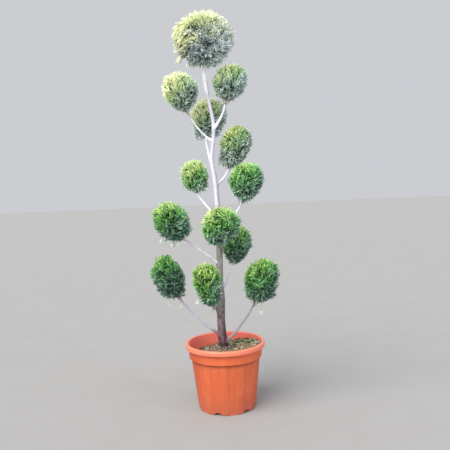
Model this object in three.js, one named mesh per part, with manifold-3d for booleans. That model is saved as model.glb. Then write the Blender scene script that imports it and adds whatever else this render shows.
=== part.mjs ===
// A potted leyland cypress clipped into pompoms: one wavy trunk in a fluted plastic pot, a ball of foliage on
// its top, and twelve bare boughs that each rise to a smaller ball. Millimetres, +Z up, with the origin at the
// centre of the pot's flat underside. Seen from the front, +X is to the right and +Y is to the back.
import * as THREE from "three";
import { mergeVertices } from "three/addons/utils/BufferGeometryUtils.js";
import Module from "manifold-3d";

const wasm = await Module();
wasm.setup();

// The pot tapers down from a rolled lip and a plain collar to a fluted body.
const POT = {
  height: 250,
  lipRadius: 150,
  lipHeight: 19,
  mouthRadius: 137,
  collarRadius: 138,
  collarTaper: 1.5,
  collarFoot: 196, // height of the collar's lower edge
  collarStep: 7, // how far the collar stands out from the body
  baseRadius: 108,
  edge: 2.5, // rounding of the lower edge
  wall: 4,
  floor: 4,
  flutes: 12,
  fluteDepth: 2.2,
  fluteAngle: 11, // degrees from the front to the centre of one flute, to the right
  fluteWall: 0.3, // how much of half a pitch lies on the slope from flute to rib
  drains: 6, // one at the foot of every second flute
  drainWidth: 30,
  drainHeight: 11,
  drainReach: 16, // how far a drain hole runs in under the floor
  sidesPerFlute: 4,
};

// The root ball fills the pot. Its top is a plane that rises to the right, with a mound round the trunk.
const SOIL = {
  level: 222,
  riseRight: 0.155,
  riseBack: -0.06,
  moundTop: 233,
  moundRadius: 55,
  flatRadius: 27, // the level spot that the trunk stands on
  flatFade: 22,
  rings: [1, 0.82, 0.62, 0.45, 0.24, 0], // where its top bends, as shares of its radius
  sides: 28,
};

const COLLAR_BOTTOM = POT.collarRadius - POT.collarTaper;
const BODY_TOP = COLLAR_BOTTOM - POT.collarStep;
const GAP = 0.3; // clearance between neighbouring pieces
const GROUND = SOIL.moundTop + GAP;

// The trunk bends a little away from each bough. Each row is a bend: how far it stands right, back and up.
const TRUNK = {
  bends: [
    [-8, 0, GROUND],
    [-12, 1, 335],
    [-10, 3, 480],
    [-7, 4, 620],
    [-9, 2, 800],
    [-13, 0, 858],
    [-22, -3, 925],
    [-18, -2, 975],
    [-12, 0, 1020],
    [-11, 0, 1068],
    [-25, 2, 1150],
    [-34, 3, 1215],
    [-37, 0, 1290],
    [-34, 0, 1385],
  ],
  footRadius: 16.2,
  tipRadius: 5,
  taperPower: 1.5, // above 1 the trunk loses most of its girth low down
  flare: 0.14, // extra radius at the root flare, as a share
  flareHeight: 24,
  lobes: 5,
  swelling: 3, // extra radius under the crown, where the trunk thickens again
  swellingHeight: 1235,
  swellingReach: 40,
  sides: 10,
  steps: 38,
};

// One row for each ball. width and height are its clipped size, and taper how much its underside narrows. Its
// bough forks from the trunk at the height fork and enters the ball at tip. girth is the bough's radius at the
// fork, and bow how far the bough sags below its straight line, as a share of its length.
const POMPOMS = [
  { name: "crown", centre: [-34, 0, 1369], width: 234, height: 206, taper: 0.12 },
  {
    name: "upper_left", centre: [-123, -45, 1181], width: 142, height: 146, taper: 0.25,
    fork: 998, tip: [-103, -38, 1110], girth: 4.6, bow: 0.07,
  },
  {
    name: "upper_right", centre: [57, 8, 1213], width: 136, height: 136, taper: 0.2,
    fork: 1047, tip: [36, 8, 1138], girth: 5, bow: 0.07,
  },
  {
    name: "upper_rear", centre: [-27, 97, 1093], width: 148, height: 162, taper: 0.25,
    fork: 926, tip: [-41, 56, 1020], girth: 5, bow: 0.12,
  },
  {
    name: "middle_right", centre: [70, 50, 982], width: 132, height: 168, taper: 0.25,
    fork: 840, tip: [38, 36, 896], girth: 4.6, bow: 0.1,
  },
  {
    name: "middle_left", centre: [-90, 42, 877], width: 112, height: 124, taper: 0.1,
    fork: 718, tip: [-85, 34, 812], girth: 4.4, bow: 0.03,
  },
  {
    name: "lower_right", centre: [102, -48, 851], width: 136, height: 150, taper: 0.3,
    fork: 656, tip: [86, -40, 776], girth: 5, bow: 0.03,
  },
  {
    name: "lower_left", centre: [-175, -50, 714], width: 146, height: 152, taper: 0.15,
    fork: 543, tip: [-140, -44, 653], girth: 4.8, bow: 0,
  },
  {
    name: "front", centre: [3, -102, 695], width: 150, height: 146, taper: 0.2,
    fork: 558, tip: [-10, -58, 630], girth: 5.6, bow: 0.1,
  },
  {
    name: "rear", centre: [57, 88, 608], width: 134, height: 148, taper: 0.3,
    fork: 430, tip: [39, 62, 537], girth: 4.8, bow: 0.04,
  },
  {
    name: "foot_left", centre: [-200, -30, 513], width: 138, height: 164, taper: 0.15,
    fork: 271, tip: [-164, -25, 429], girth: 4.8, bow: 0.05,
  },
  {
    name: "foot_front", centre: [-54, -84, 488], width: 112, height: 170, taper: 0.4,
    fork: 342, tip: [-25, -56, 392], girth: 4.6, bow: 0.14,
  },
  {
    name: "foot_right", centre: [145, -25, 483], width: 140, height: 168, taper: 0.15,
    fork: 237, tip: [116, -22, 396], girth: 5, bow: 0.045,
  },
];

const BOUGH = {
  tipShare: 0.72, // radius at the ball as a share of the radius at the trunk
  collar: 0.45, // swelling where it leaves the trunk, as a share of its radius
  collarLength: 12,
  sides: 7,
  steps: 8,
};

const FOLIAGE = {
  leanToBough: 0.35, // 1 puts a ball's lowest point on its bough
  coreShare: 0.82, // size of the dense heart inside a ball
  coreLumps: 0.035,
  coreDetail: 1,
  sprayArea: 2250, // square millimetres of a ball's surface for each spray
  sprayLength: 50,
  sprayReach: 0.3, // the longest that a spray may be, as a share of its ball's width
  sprayWidth: 42,
  sprayThickness: 4.4,
  lean: 0.85, // how far a spray leans over the ball, 0 being straight out
  lift: -0.3, // above -0.5 more sprays lean upwards than downwards
  stemRadius: 3.4,
  stragglerTwig: 1.7,
  stragglerDrop: 20, // how far a straggling tuft hangs below its ball
  limbClearance: 1.2,
};

// Balls whose undersides let small tufts hang out on a bare twig: the compass angle of each tuft, in degrees.
const STRAGGLERS = {
  crown: [200, 232],
  lower_left: [188, 262],
  foot_left: [240, 318],
  foot_right: [300],
};

const DOWN = new THREE.Vector3(0, 0, -1);
const FRONT = new THREE.Vector3(0, -1, 0);
const radians = THREE.MathUtils.degToRad;
const smooth = THREE.MathUtils.smoothstep;

// A repeatable source of numbers from 0 to 1.
function seededNumbers(seed) {
  let state = seed >>> 0;
  return () => {
    state = (Math.imul(state, 1664525) + 1013904223) >>> 0;
    return state / 4294967296;
  };
}

// The closed geometry as a solid for cutting and joining.
function toSolid(geometry) {
  const bare = geometry.clone();
  bare.deleteAttribute("normal");
  bare.deleteAttribute("uv");
  const merged = mergeVertices(bare, 1e-3);
  const mesh = new wasm.Mesh({
    numProp: 3,
    vertProperties: merged.attributes.position.array,
    triVerts: new Uint32Array(merged.index.array),
  });
  return new wasm.Manifold(mesh);
}

// The solid's outer skin as a geometry. Sealed hollows and loose scraps are left behind.
function toGeometry(solid) {
  const pieces = solid.decompose();
  const whole = pieces.reduce((a, b) => (b.volume() > a.volume() ? b : a));
  const mesh = whole.getMesh();
  const geometry = new THREE.BufferGeometry();
  geometry.setAttribute("position", new THREE.BufferAttribute(new Float32Array(mesh.vertProperties), 3));
  geometry.setIndex(new THREE.BufferAttribute(new Uint32Array(mesh.triVerts), 1));
  geometry.computeVertexNormals();
  return geometry;
}

function moveVertices(geometry, rule) {
  const position = geometry.attributes.position;
  const point = new THREE.Vector3();
  for (let i = 0; i < position.count; i++) {
    point.fromBufferAttribute(position, i);
    rule(point);
    position.setXYZ(i, point.x, point.y, point.z);
  }
  return geometry;
}

// A closed round limb along a curve: a capped cylinder whose rings are carried to frames on the curve.
// radiusAt(share of the length, angle) gives its radius.
function limb(curve, radiusAt, sides, steps) {
  const frames = curve.computeFrenetFrames(steps, false);
  const geometry = new THREE.CylinderGeometry(1, 1, 1, sides, steps);
  return moveVertices(geometry, (p) => {
    const share = THREE.MathUtils.clamp(p.y + 0.5, 0, 1);
    const ring = Math.round(share * steps);
    const reach = Math.hypot(p.x, p.z);
    const angle = Math.atan2(p.x, p.z);
    const radius = reach * radiusAt(share, angle);
    const centre = curve.getPointAt(share);
    p.copy(centre)
      .addScaledVector(frames.normals[ring], radius * Math.cos(angle))
      .addScaledVector(frames.binormals[ring], radius * Math.sin(angle));
  });
}

// The pot's profile from the middle of its underside, up the outside, and down the inside to the floor.
function potOutline() {
  const { height, lipRadius, lipHeight, mouthRadius, collarRadius, collarFoot } = POT;
  const { baseRadius, edge, wall, floor } = POT;
  const lipFoot = height - lipHeight;
  return [
    [0, 0],
    [baseRadius - edge, 0],
    [baseRadius, edge],
    [BODY_TOP, collarFoot - 5],
    [COLLAR_BOTTOM, collarFoot],
    [collarRadius, lipFoot],
    [lipRadius - 2.5, lipFoot],
    [lipRadius, lipFoot + 4],
    [lipRadius - 0.6, height - 5],
    [lipRadius - 4, height],
    [mouthRadius + 2, height],
    [mouthRadius, height - 3],
    [COLLAR_BOTTOM - wall, collarFoot + 4],
    [BODY_TOP - wall, collarFoot - 5],
    [baseRadius - wall - edge, floor],
    [0, floor],
  ];
}

// 1 at the bottom of a flute and 0 on the rib between two flutes.
function fluteShare(angle) {
  const flute = ((angle - radians(POT.fluteAngle)) / (2 * Math.PI)) * POT.flutes;
  const offCentre = Math.abs(flute - Math.round(flute)) * 2;
  return 1 - smooth(offCentre, (1 - POT.fluteWall) / 2, (1 + POT.fluteWall) / 2);
}

// The outer skin of the body is pressed in at the flutes, and the drain holes are cut through its lower edge.
function potGeometry() {
  const sides = POT.flutes * POT.sidesPerFlute;
  const pitch = (2 * Math.PI) / POT.flutes;
  const firstSide = radians(POT.fluteAngle) + pitch / POT.sidesPerFlute / 2;
  const turned = turn(potOutline(), sides, firstSide);
  const slope = (BODY_TOP - POT.baseRadius) / POT.collarFoot;
  moveVertices(turned, (p) => {
    const radius = Math.hypot(p.x, p.y);
    const skin = POT.baseRadius + slope * p.z - POT.wall / 2 - POT.edge / 2;
    if (radius < skin || p.z > POT.collarFoot - 1) return;
    const pressed = 1 - (POT.fluteDepth * fluteShare(Math.atan2(p.x, -p.y))) / radius;
    p.x *= pressed;
    p.y *= pressed;
  });
  let solid = toSolid(turned);
  const length = POT.drainReach + 10;
  for (let i = 0; i < POT.drains; i++) {
    const hole = new THREE.CylinderGeometry(1, 1, length, 12);
    hole.scale(POT.drainWidth / 2, 1, POT.drainHeight);
    hole.translate(0, -(POT.baseRadius - POT.drainReach + length / 2), 0);
    hole.rotateZ(radians(POT.fluteAngle) + pitch * (2 * i + 1));
    solid = solid.subtract(toSolid(hole));
  }
  return toGeometry(solid);
}

// A profile of radius and height pairs, turned about the Z axis. Angles run from the front to the right.
function turn(profile, sides, firstAngle) {
  const points = profile.map(([radius, height]) => new THREE.Vector2(radius, height));
  return new THREE.LatheGeometry(points, sides, firstAngle).rotateX(Math.PI / 2);
}

function soilHeight(x, y) {
  const reach = Math.hypot(x - TRUNK.bends[0][0], y);
  const plane = SOIL.level + SOIL.riseRight * x + SOIL.riseBack * y;
  const mound = (SOIL.moundTop - SOIL.level) * Math.exp(-((reach / SOIL.moundRadius) ** 2));
  const level = 1 - smooth(reach, SOIL.flatRadius, SOIL.flatRadius + SOIL.flatFade);
  return THREE.MathUtils.lerp(plane + mound, SOIL.moundTop, level);
}

// The soil follows the inside of the pot with a hair of clearance, and its top follows soilHeight.
function soilGeometry() {
  const { baseRadius, edge, wall, floor, collarFoot, mouthRadius, height } = POT;
  const clear = wall + 2 * GAP;
  const shoulder = collarFoot + 4;
  const brim = COLLAR_BOTTOM - clear;
  const spread = (mouthRadius - COLLAR_BOTTOM + wall) / (height - 3 - shoulder) / brim;
  const outline = [
    [0, floor + GAP],
    [baseRadius - edge - clear, floor + GAP],
    [BODY_TOP - clear, collarFoot - 5],
    [brim, shoulder],
    ...SOIL.rings.map((share) => [brim * share, SOIL.level]),
  ];
  return moveVertices(turn(outline, SOIL.sides, 0), (p) => {
    if (p.z < shoulder + 1) return;
    p.z = soilHeight(p.x, p.y);
    p.x *= 1 + spread * (p.z - shoulder);
    p.y *= 1 + spread * (p.z - shoulder);
  });
}

const trunkBends = TRUNK.bends.map((bend) => new THREE.Vector3(...bend));
const trunkCurve = new THREE.CatmullRomCurve3(trunkBends, false, "centripetal");

function trunkRadius(share, angle) {
  const { footRadius, tipRadius, taperPower, flare, flareHeight, lobes } = TRUNK;
  const { swelling, swellingHeight, swellingReach } = TRUNK;
  const rise = share * trunkCurve.getLength();
  const aboveSwelling = (GROUND + rise - swellingHeight) / swellingReach;
  const taper = tipRadius + (footRadius - tipRadius) * (1 - share) ** taperPower;
  const girth = taper + swelling * Math.exp(-(aboveSwelling ** 2));
  const spread = flare * Math.exp(-rise / flareHeight);
  return girth * (1 + spread * (1 + 0.3 * Math.cos(lobes * angle)));
}

function trunkSolid(clearance) {
  const grown = (share, angle) => trunkRadius(share, angle) + clearance;
  const geometry = limb(trunkCurve, grown, TRUNK.sides, TRUNK.steps);
  moveVertices(geometry, (p) => {
    p.z = Math.max(p.z, GROUND);
  });
  return toSolid(geometry);
}

// The point on the trunk's centre line at a height.
function trunkPointAt(height) {
  let low = 0;
  let high = 1;
  for (let i = 0; i < 30; i++) {
    const middle = (low + high) / 2;
    if (trunkCurve.getPointAt(middle).z < height) low = middle;
    else high = middle;
  }
  return trunkCurve.getPointAt(low);
}

// The clipped surface of a ball: an egg with its blunt end up, sheared towards the side that it grows to.
// direction is a unit vector and share scales the ball about its centre.
function onBall(ball, direction, share) {
  const narrowing = 1 - ball.taper * smooth(-direction.z, -0.25, 1);
  const half = new THREE.Vector3(ball.width / 2, ball.width / 2, ball.height / 2);
  const point = direction.clone().multiply(half).multiplyScalar(share);
  point.x = point.x * narrowing + ball.lean.x * point.z;
  point.y = point.y * narrowing + ball.lean.y * point.z;
  return point.add(ball.centre);
}

// A bough runs from the trunk's centre line to its ball in one shallow curve.
function boughCurve(ball) {
  const start = trunkPointAt(ball.fork);
  const reach = ball.tip.clone().sub(start);
  const outward = new THREE.Vector3(reach.x, reach.y, 0).normalize();
  const sag = outward.multiplyScalar(reach.z).addScaledVector(DOWN, Math.hypot(reach.x, reach.y));
  const bend = start.clone().addScaledVector(reach, 0.5).addScaledVector(sag, 2 * ball.bow);
  return new THREE.QuadraticBezierCurve3(start, bend, ball.tip);
}

function boughRadius(ball, share) {
  const length = ball.curve.getLength();
  const girth = THREE.MathUtils.lerp(ball.girth, ball.girth * BOUGH.tipShare, share);
  const trunkRadiusHere = TRUNK.footRadius * 0.75;
  const past = Math.max(share * length - trunkRadiusHere, 0);
  return girth * (1 + BOUGH.collar * Math.exp(-past / BOUGH.collarLength));
}

function boughSolid(ball) {
  const rod = limb(ball.curve, (share) => boughRadius(ball, share), BOUGH.sides, BOUGH.steps);
  return toSolid(rod).subtract(trunkSolid(GAP));
}

// A flat spray of scale leaves, root at the origin and tip along +Y: a bipyramid whose rim is drawn out into
// teeth, so that it is thickest along its midrib.
function sprayGeometry(length, width) {
  const rim = [
    [0, 0],
    [0.5 * width, 0.76 * length],
    [0.14 * width, length],
    [-0.1 * width, 0.82 * length],
    [-0.5 * width, 0.86 * length],
  ];
  const teeth = rim.length;
  const blade = new THREE.SphereGeometry(1, teeth, 2);
  return moveVertices(blade, (p) => {
    if (Math.abs(p.y) > 0.5) {
      p.set(0, 0.6 * length, (Math.sign(p.y) * FOLIAGE.sprayThickness) / 2);
      return;
    }
    const place = Math.round((Math.atan2(p.z, -p.x) / (2 * Math.PI)) * teeth);
    const [x, y] = rim[(place + teeth) % teeth];
    p.set(x, y, 0);
  });
}

// Carries a geometry that grows along +Y to a root point and a heading, with its +Z side turned towards facing.
function growFrom(geometry, root, heading, facing = FRONT) {
  const across = new THREE.Vector3().crossVectors(heading, facing).normalize();
  const outward = new THREE.Vector3().crossVectors(across, heading);
  return geometry.applyMatrix4(new THREE.Matrix4().makeBasis(across, heading, outward).setPosition(root));
}

function touchesLimb(solid, limbs) {
  return solid.minGap(limbs, 2 * FOLIAGE.limbClearance) < FOLIAGE.limbClearance;
}

// The lumpy heart of a ball, which the sprays stand out of.
function coreGeometry(ball, random) {
  const phase = [random() * 6, random() * 6, random() * 6];
  const core = new THREE.IcosahedronGeometry(1, FOLIAGE.coreDetail);
  return moveVertices(core, (p) => {
    const direction = p.clone().normalize();
    const lump = Math.sin(5 * direction.x + phase[0]) + Math.sin(5 * direction.y + phase[1]);
    const share = FOLIAGE.coreShare + FOLIAGE.coreLumps * (lump + Math.sin(6 * direction.z + phase[2]));
    p.copy(onBall(ball, direction, share));
  });
}

// Sprays stand out of the core at directions spread by the golden angle, each leaning by a seeded amount.
function sprays(ball, random, limbs) {
  const area = Math.PI * ball.width * (ball.width + ball.height) * 0.5;
  const count = Math.round(area / FOLIAGE.sprayArea);
  const golden = Math.PI * (3 - Math.sqrt(5));
  const grown = [];
  for (let i = 0; i < count; i++) {
    const rise = 1 - (2 * (i + 0.5)) / count;
    const ring = Math.sqrt(1 - rise * rise);
    const turn = golden * i + 0.5 * random();
    const direction = new THREE.Vector3(ring * Math.cos(turn), ring * Math.sin(turn), rise);
    const tip = onBall(ball, direction, 1 + 0.06 * random());
    const outward = tip.clone().sub(ball.centre).normalize();
    const stray = new THREE.Vector3(random() - 0.5, random() - 0.5, random() + FOLIAGE.lift);
    const sideways = stray.projectOnPlane(outward).normalize();
    const heading = outward.clone().addScaledVector(sideways, FOLIAGE.lean).normalize();
    const length = Math.min(FOLIAGE.sprayLength, FOLIAGE.sprayReach * ball.width);
    const width = FOLIAGE.sprayWidth * (0.85 + 0.3 * random());
    const root = tip.clone().addScaledVector(heading, -length);
    const spray = toSolid(growFrom(sprayGeometry(length, width), root, heading, outward));
    if (!touchesLimb(spray, limbs)) grown.push(spray);
  }
  return grown;
}

// A bare three-sided twig that leaves the underside of a ball and hangs a small tuft.
function straggler(ball, compass, limbs) {
  const side = new THREE.Vector3(Math.cos(radians(compass)) * 0.62, Math.sin(radians(compass)) * 0.62, -0.78);
  const root = onBall(ball, side, FOLIAGE.coreShare - 0.14);
  const skin = onBall(ball, side, 1);
  const heading = skin.clone().sub(root).normalize().add(DOWN.clone().multiplyScalar(0.6)).normalize();
  const reach = skin.distanceTo(root) + FOLIAGE.stragglerDrop * 0.5;
  const twig = new THREE.CylinderGeometry(FOLIAGE.stragglerTwig * 0.7, FOLIAGE.stragglerTwig, reach, 3);
  twig.translate(0, reach / 2, 0);
  growFrom(twig, root, heading);
  const tuftRoot = root.clone().addScaledVector(heading, reach - 6);
  const tuft = growFrom(sprayGeometry(24, 13), tuftRoot, heading);
  const hanging = toSolid(twig).add(toSolid(tuft));
  return touchesLimb(hanging, limbs) ? [] : [hanging];
}

// One ball: its core, the stem that carries it on from the bough, its sprays and its stragglers, fused.
function pompomGeometry(ball, seed, limbs) {
  const random = seededNumbers(seed);
  const parts = sprays(ball, random, limbs);
  for (const compass of STRAGGLERS[ball.name] ?? []) parts.push(...straggler(ball, compass, limbs));
  let solid = toSolid(coreGeometry(ball, random));
  for (const part of parts) solid = solid.add(part);
  return toGeometry(ball.onTrunk ? solid.subtract(trunkSolid(GAP)) : solid.add(stemSolid(ball)));
}

// The stem carries a ball on from the end of its bough, in line with it.
function stemSolid(ball) {
  const heading = ball.curve.getTangent(1);
  const reach = 0.7 * ball.tip.distanceTo(ball.centre);
  const stem = new THREE.CylinderGeometry(FOLIAGE.stemRadius * 0.6, FOLIAGE.stemRadius, reach, 6);
  stem.translate(0, reach / 2 + GAP, 0);
  return toSolid(growFrom(stem, ball.tip, heading));
}

// A row of the table with its places as vectors. A ball leans over so that its underside is drawn to its bough.
function placeBall(row) {
  const ball = { ...row, centre: new THREE.Vector3(...row.centre), lean: new THREE.Vector2(0, 0) };
  ball.onTrunk = row.fork === undefined;
  if (ball.onTrunk) return ball;
  ball.tip = new THREE.Vector3(...row.tip);
  const entry = ball.tip.clone().sub(ball.centre);
  ball.lean.set(entry.x / entry.z, entry.y / entry.z).multiplyScalar(FOLIAGE.leanToBough);
  ball.curve = boughCurve(ball);
  return ball;
}

function finish(color, roughness) {
  return new THREE.MeshStandardMaterial({ color, roughness, metalness: 0, flatShading: true });
}

const FINISHES = {
  pot: finish(0xd8693f, 0.55),
  soil: finish(0x3d3329, 0.95),
  bark: finish(0x8f7f74, 0.85),
  bough: finish(0xb3a596, 0.8),
  foliage: finish(0x5a9436, 0.75),
};

function named(name, geometry, material) {
  const mesh = new THREE.Mesh(geometry, material);
  mesh.name = name;
  return mesh;
}

const topiary = new THREE.Group();
topiary.add(named("pot", potGeometry(), FINISHES.pot));
topiary.add(named("soil", soilGeometry(), FINISHES.soil));
topiary.add(named("trunk", toGeometry(trunkSolid(0)), FINISHES.bark));

for (const [i, ball] of POMPOMS.map(placeBall).entries()) {
  let limbs = trunkSolid(0);
  if (!ball.onTrunk) {
    const bough = boughSolid(ball);
    limbs = limbs.add(bough);
    topiary.add(named("bough_" + ball.name, toGeometry(bough), FINISHES.bough));
  }
  topiary.add(named("pompom_" + ball.name, pompomGeometry(ball, 101 + 7 * i, limbs), FINISHES.foliage));
}

export default topiary;
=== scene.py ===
"""A potted leyland cypress clipped into pompoms: one wavy bare trunk in a fluted plastic pot, a ball of
foliage on its top and twelve thin boughs that each rise to a smaller ball. Metres, +Z up, with the origin
at the centre of the pot's flat underside. Seen from the front, +X is to the right and +Y is to the back."""

import itertools
import math
import bpy
import numpy as np
from mathutils import Matrix


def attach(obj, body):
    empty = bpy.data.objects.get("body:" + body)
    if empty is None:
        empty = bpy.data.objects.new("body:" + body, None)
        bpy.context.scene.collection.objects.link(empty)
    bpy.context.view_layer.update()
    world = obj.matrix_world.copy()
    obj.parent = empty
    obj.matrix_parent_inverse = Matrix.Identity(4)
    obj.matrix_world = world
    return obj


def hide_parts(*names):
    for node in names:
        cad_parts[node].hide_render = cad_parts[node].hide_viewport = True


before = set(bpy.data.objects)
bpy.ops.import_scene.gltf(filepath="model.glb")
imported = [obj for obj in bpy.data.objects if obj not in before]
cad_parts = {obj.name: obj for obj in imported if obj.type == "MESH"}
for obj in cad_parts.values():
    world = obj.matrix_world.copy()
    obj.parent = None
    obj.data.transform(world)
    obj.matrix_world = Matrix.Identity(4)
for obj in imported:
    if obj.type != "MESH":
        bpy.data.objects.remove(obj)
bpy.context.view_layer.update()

GAP = 0.0003
UP = np.array([0.0, 0.0, 1.0])
GOLDEN = math.pi * (3 - math.sqrt(5))

# Sizes of the pot and the soil

POT_HEIGHT = 0.25
LIP_RADIUS, LIP_HEIGHT = 0.15, 0.019
MOUTH_RADIUS = 0.137
COLLAR_RADIUS, COLLAR_TAPER, COLLAR_FOOT, COLLAR_STEP = 0.138, 0.0015, 0.196, 0.007
BASE_RADIUS, BASE_EDGE = 0.108, 0.0025
WALL = FLOOR = 0.004
FLUTES, FLUTE_DEPTH, FLUTE_ANGLE, FLUTE_SIDES = 12, 0.0022, math.radians(11), 18
FLUTE_WALL = 0.28  # how much of half a pitch lies on the slope from flute to rib
DRAINS, DRAIN_WIDTH, DRAIN_HEIGHT, DRAIN_REACH, DRAIN_SIDES = 6, 0.030, 0.011, 0.016, 24
COLLAR_BOTTOM = COLLAR_RADIUS - COLLAR_TAPER
BODY_TOP = COLLAR_BOTTOM - COLLAR_STEP
BODY_HEIGHT, SHOULDER = COLLAR_FOOT - 0.005, COLLAR_FOOT + 0.004
LIP_FOOT, MOUTH_HEIGHT = POT_HEIGHT - LIP_HEIGHT, POT_HEIGHT - 0.003

SOIL_LEVEL, SOIL_RIGHT, SOIL_BACK = 0.222, 0.155, -0.06
SOIL_RINGS, SOIL_SIDES = 75, 170
# The height, the width and a seed for each size of lump and crumb.
SOIL_LUMPS = [(0.007, 0.017, 1), (0.004, 0.007, 2), (0.0022, 0.0028, 3)]
MOUND_TOP, MOUND_RADIUS, FLAT_RADIUS, FLAT_FADE = 0.233, 0.055, 0.027, 0.022
GROUND = MOUND_TOP + GAP

# Middle and spread of each bed of moss, its number of cushions, its tallest shoot, and its share of straw
# colour.
MOSS_BEDS = [
    ((-0.048, -0.078), (0.022, 0.014), 46, 0.013, 0.38), ((-0.075, -0.045), (0.020, 0.020), 14, 0.008, 0.2),
    ((0.070, 0.020), (0.034, 0.030), 56, 0.010, 0.42), ((0.0, 0.070), (0.050, 0.030), 36, 0.009, 0.3),
    ((0.030, -0.085), (0.040, 0.015), 14, 0.008, 0.3), ((-0.085, 0.010), (0.015, 0.030), 14, 0.007, 0.2),
]
CUSHION_SHOOTS = 26
CHIPS = 1500
# How far from the pot's axis a cushion or a chip may have its middle, a shoot its foot, and either its ends.
BED_REACH, FOOT_REACH, SHOOT_REACH = 0.128, 0.127, 0.131

# Sizes of the trunk

TRUNK_BENDS = np.array([
    [-0.008, 0, GROUND], [-0.012, 0.001, 0.335], [-0.010, 0.003, 0.480], [-0.007, 0.004, 0.620],
    [-0.009, 0.002, 0.800], [-0.013, 0, 0.858], [-0.022, -0.003, 0.925], [-0.018, -0.002, 0.975],
    [-0.012, 0, 1.020], [-0.011, 0, 1.068], [-0.025, 0.002, 1.150], [-0.034, 0.003, 1.215],
    [-0.037, 0, 1.290], [-0.034, 0, 1.385],
])
TRUNK_POINTS, TRUNK_SIDES = 900, 84
FOOT_RADIUS, TIP_RADIUS, TAPER_POWER = 0.0162, 0.005, 1.5
FLARE, FLARE_HEIGHT, LOBES = 0.14, 0.024, 5
SWELLING, SWELLING_HEIGHT, SWELLING_REACH = 0.003, 1.235, 0.040
# The swell on the trunk's right side, where the rear bough's foot has grown into it.
GROWN, GROWN_HEIGHT, GROWN_REACH = 0.0040, 0.405, 0.045
FORK_SWELL, FORK_REACH, FORK_DROP = 0.0016, 0.012, 0.004
KNOT_RIM, KNOT_HOLLOW = 0.0022, 0.0030
KNOTS = [  # height, compass angle and radius of each scar where a bough was cut off
    (0.322, 288, 0.0050), (0.364, 308, 0.0052), (0.386, 308, 0.0046), (0.398, 60, 0.0050),
    (0.462, 196, 0.0045), (0.505, 20, 0.0050), (0.585, 130, 0.0045), (0.640, 250, 0.0040),
    (0.700, 80, 0.0045), (0.765, 300, 0.0040), (0.790, 150, 0.0040), (0.880, 20, 0.0038),
    (0.960, 110, 0.0038), (1.090, 240, 0.0036), (1.120, 60, 0.0034), (1.175, 330, 0.0034),
]
TRUNK_RELIEF, BOUGH_RELIEF = 0.0011, 0.0006

# One row for each ball with its bough

BALL_COLUMNS = ("centre", "width", "height", "taper", "fork", "tip", "girth", "bow")
BALLS = {  # fork is the height where the bough leaves the trunk, girth its radius there, and bow its sag
    "crown": ((-0.034, 0, 1.369), 0.234, 0.206, 0.12),
    "upper_left": ((-0.123, -0.045, 1.181), 0.142, 0.146, 0.25, 0.998, (-0.103, -0.038, 1.110), 0.0046, 0.07),
    "upper_right": ((0.057, 0.008, 1.213), 0.136, 0.136, 0.2, 1.047, (0.036, 0.008, 1.138), 0.005, 0.07),
    "upper_rear": ((-0.027, 0.097, 1.093), 0.148, 0.162, 0.25, 0.926, (-0.041, 0.056, 1.020), 0.005, 0.12),
    "middle_right": ((0.070, 0.050, 0.982), 0.132, 0.168, 0.25, 0.840, (0.038, 0.036, 0.896), 0.0046, 0.1),
    "middle_left": ((-0.090, 0.042, 0.877), 0.112, 0.124, 0.1, 0.718, (-0.085, 0.034, 0.812), 0.0044, 0.03),
    "lower_right": ((0.102, -0.048, 0.851), 0.136, 0.150, 0.3, 0.656, (0.086, -0.040, 0.776), 0.005, 0.03),
    "lower_left": ((-0.175, -0.050, 0.714), 0.146, 0.152, 0.15, 0.543, (-0.140, -0.044, 0.653), 0.0048, 0.0),
    "front": ((0.003, -0.102, 0.695), 0.150, 0.146, 0.2, 0.558, (-0.010, -0.058, 0.630), 0.0056, 0.1),
    "rear": ((0.057, 0.088, 0.608), 0.134, 0.148, 0.3, 0.430, (0.039, 0.062, 0.537), 0.0048, 0.04),
    "foot_left": ((-0.200, -0.030, 0.513), 0.138, 0.164, 0.15, 0.271, (-0.164, -0.025, 0.429), 0.0048, 0.05),
    "foot_front": ((-0.054, -0.084, 0.488), 0.112, 0.170, 0.4, 0.342, (-0.025, -0.056, 0.392), 0.0046, 0.14),
    "foot_right": ((0.145, -0.025, 0.483), 0.140, 0.168, 0.15, 0.237, (0.116, -0.022, 0.396), 0.005, 0.045),
}
BALLS = {name: dict(zip(BALL_COLUMNS, row)) for name, row in BALLS.items()}
BOUGH_TIP_SHARE, BOUGH_COLLAR, BOUGH_COLLAR_LENGTH = 0.72, 0.45, 0.012
BOUGH_SIDES, BOUGH_STEP, BOUGH_POINTS = 22, 0.0016, 200
# The rings that old shoots left round a bough: their distance, their width, their height, and how much
# higher they are on one side.
JOINT_GAP, JOINT_WIDTH, JOINT_RISE, JOINT_LEAN = 0.035, 0.0028, 0.0004, 0.0005
LEAN_TO_BOUGH = 0.35

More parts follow.
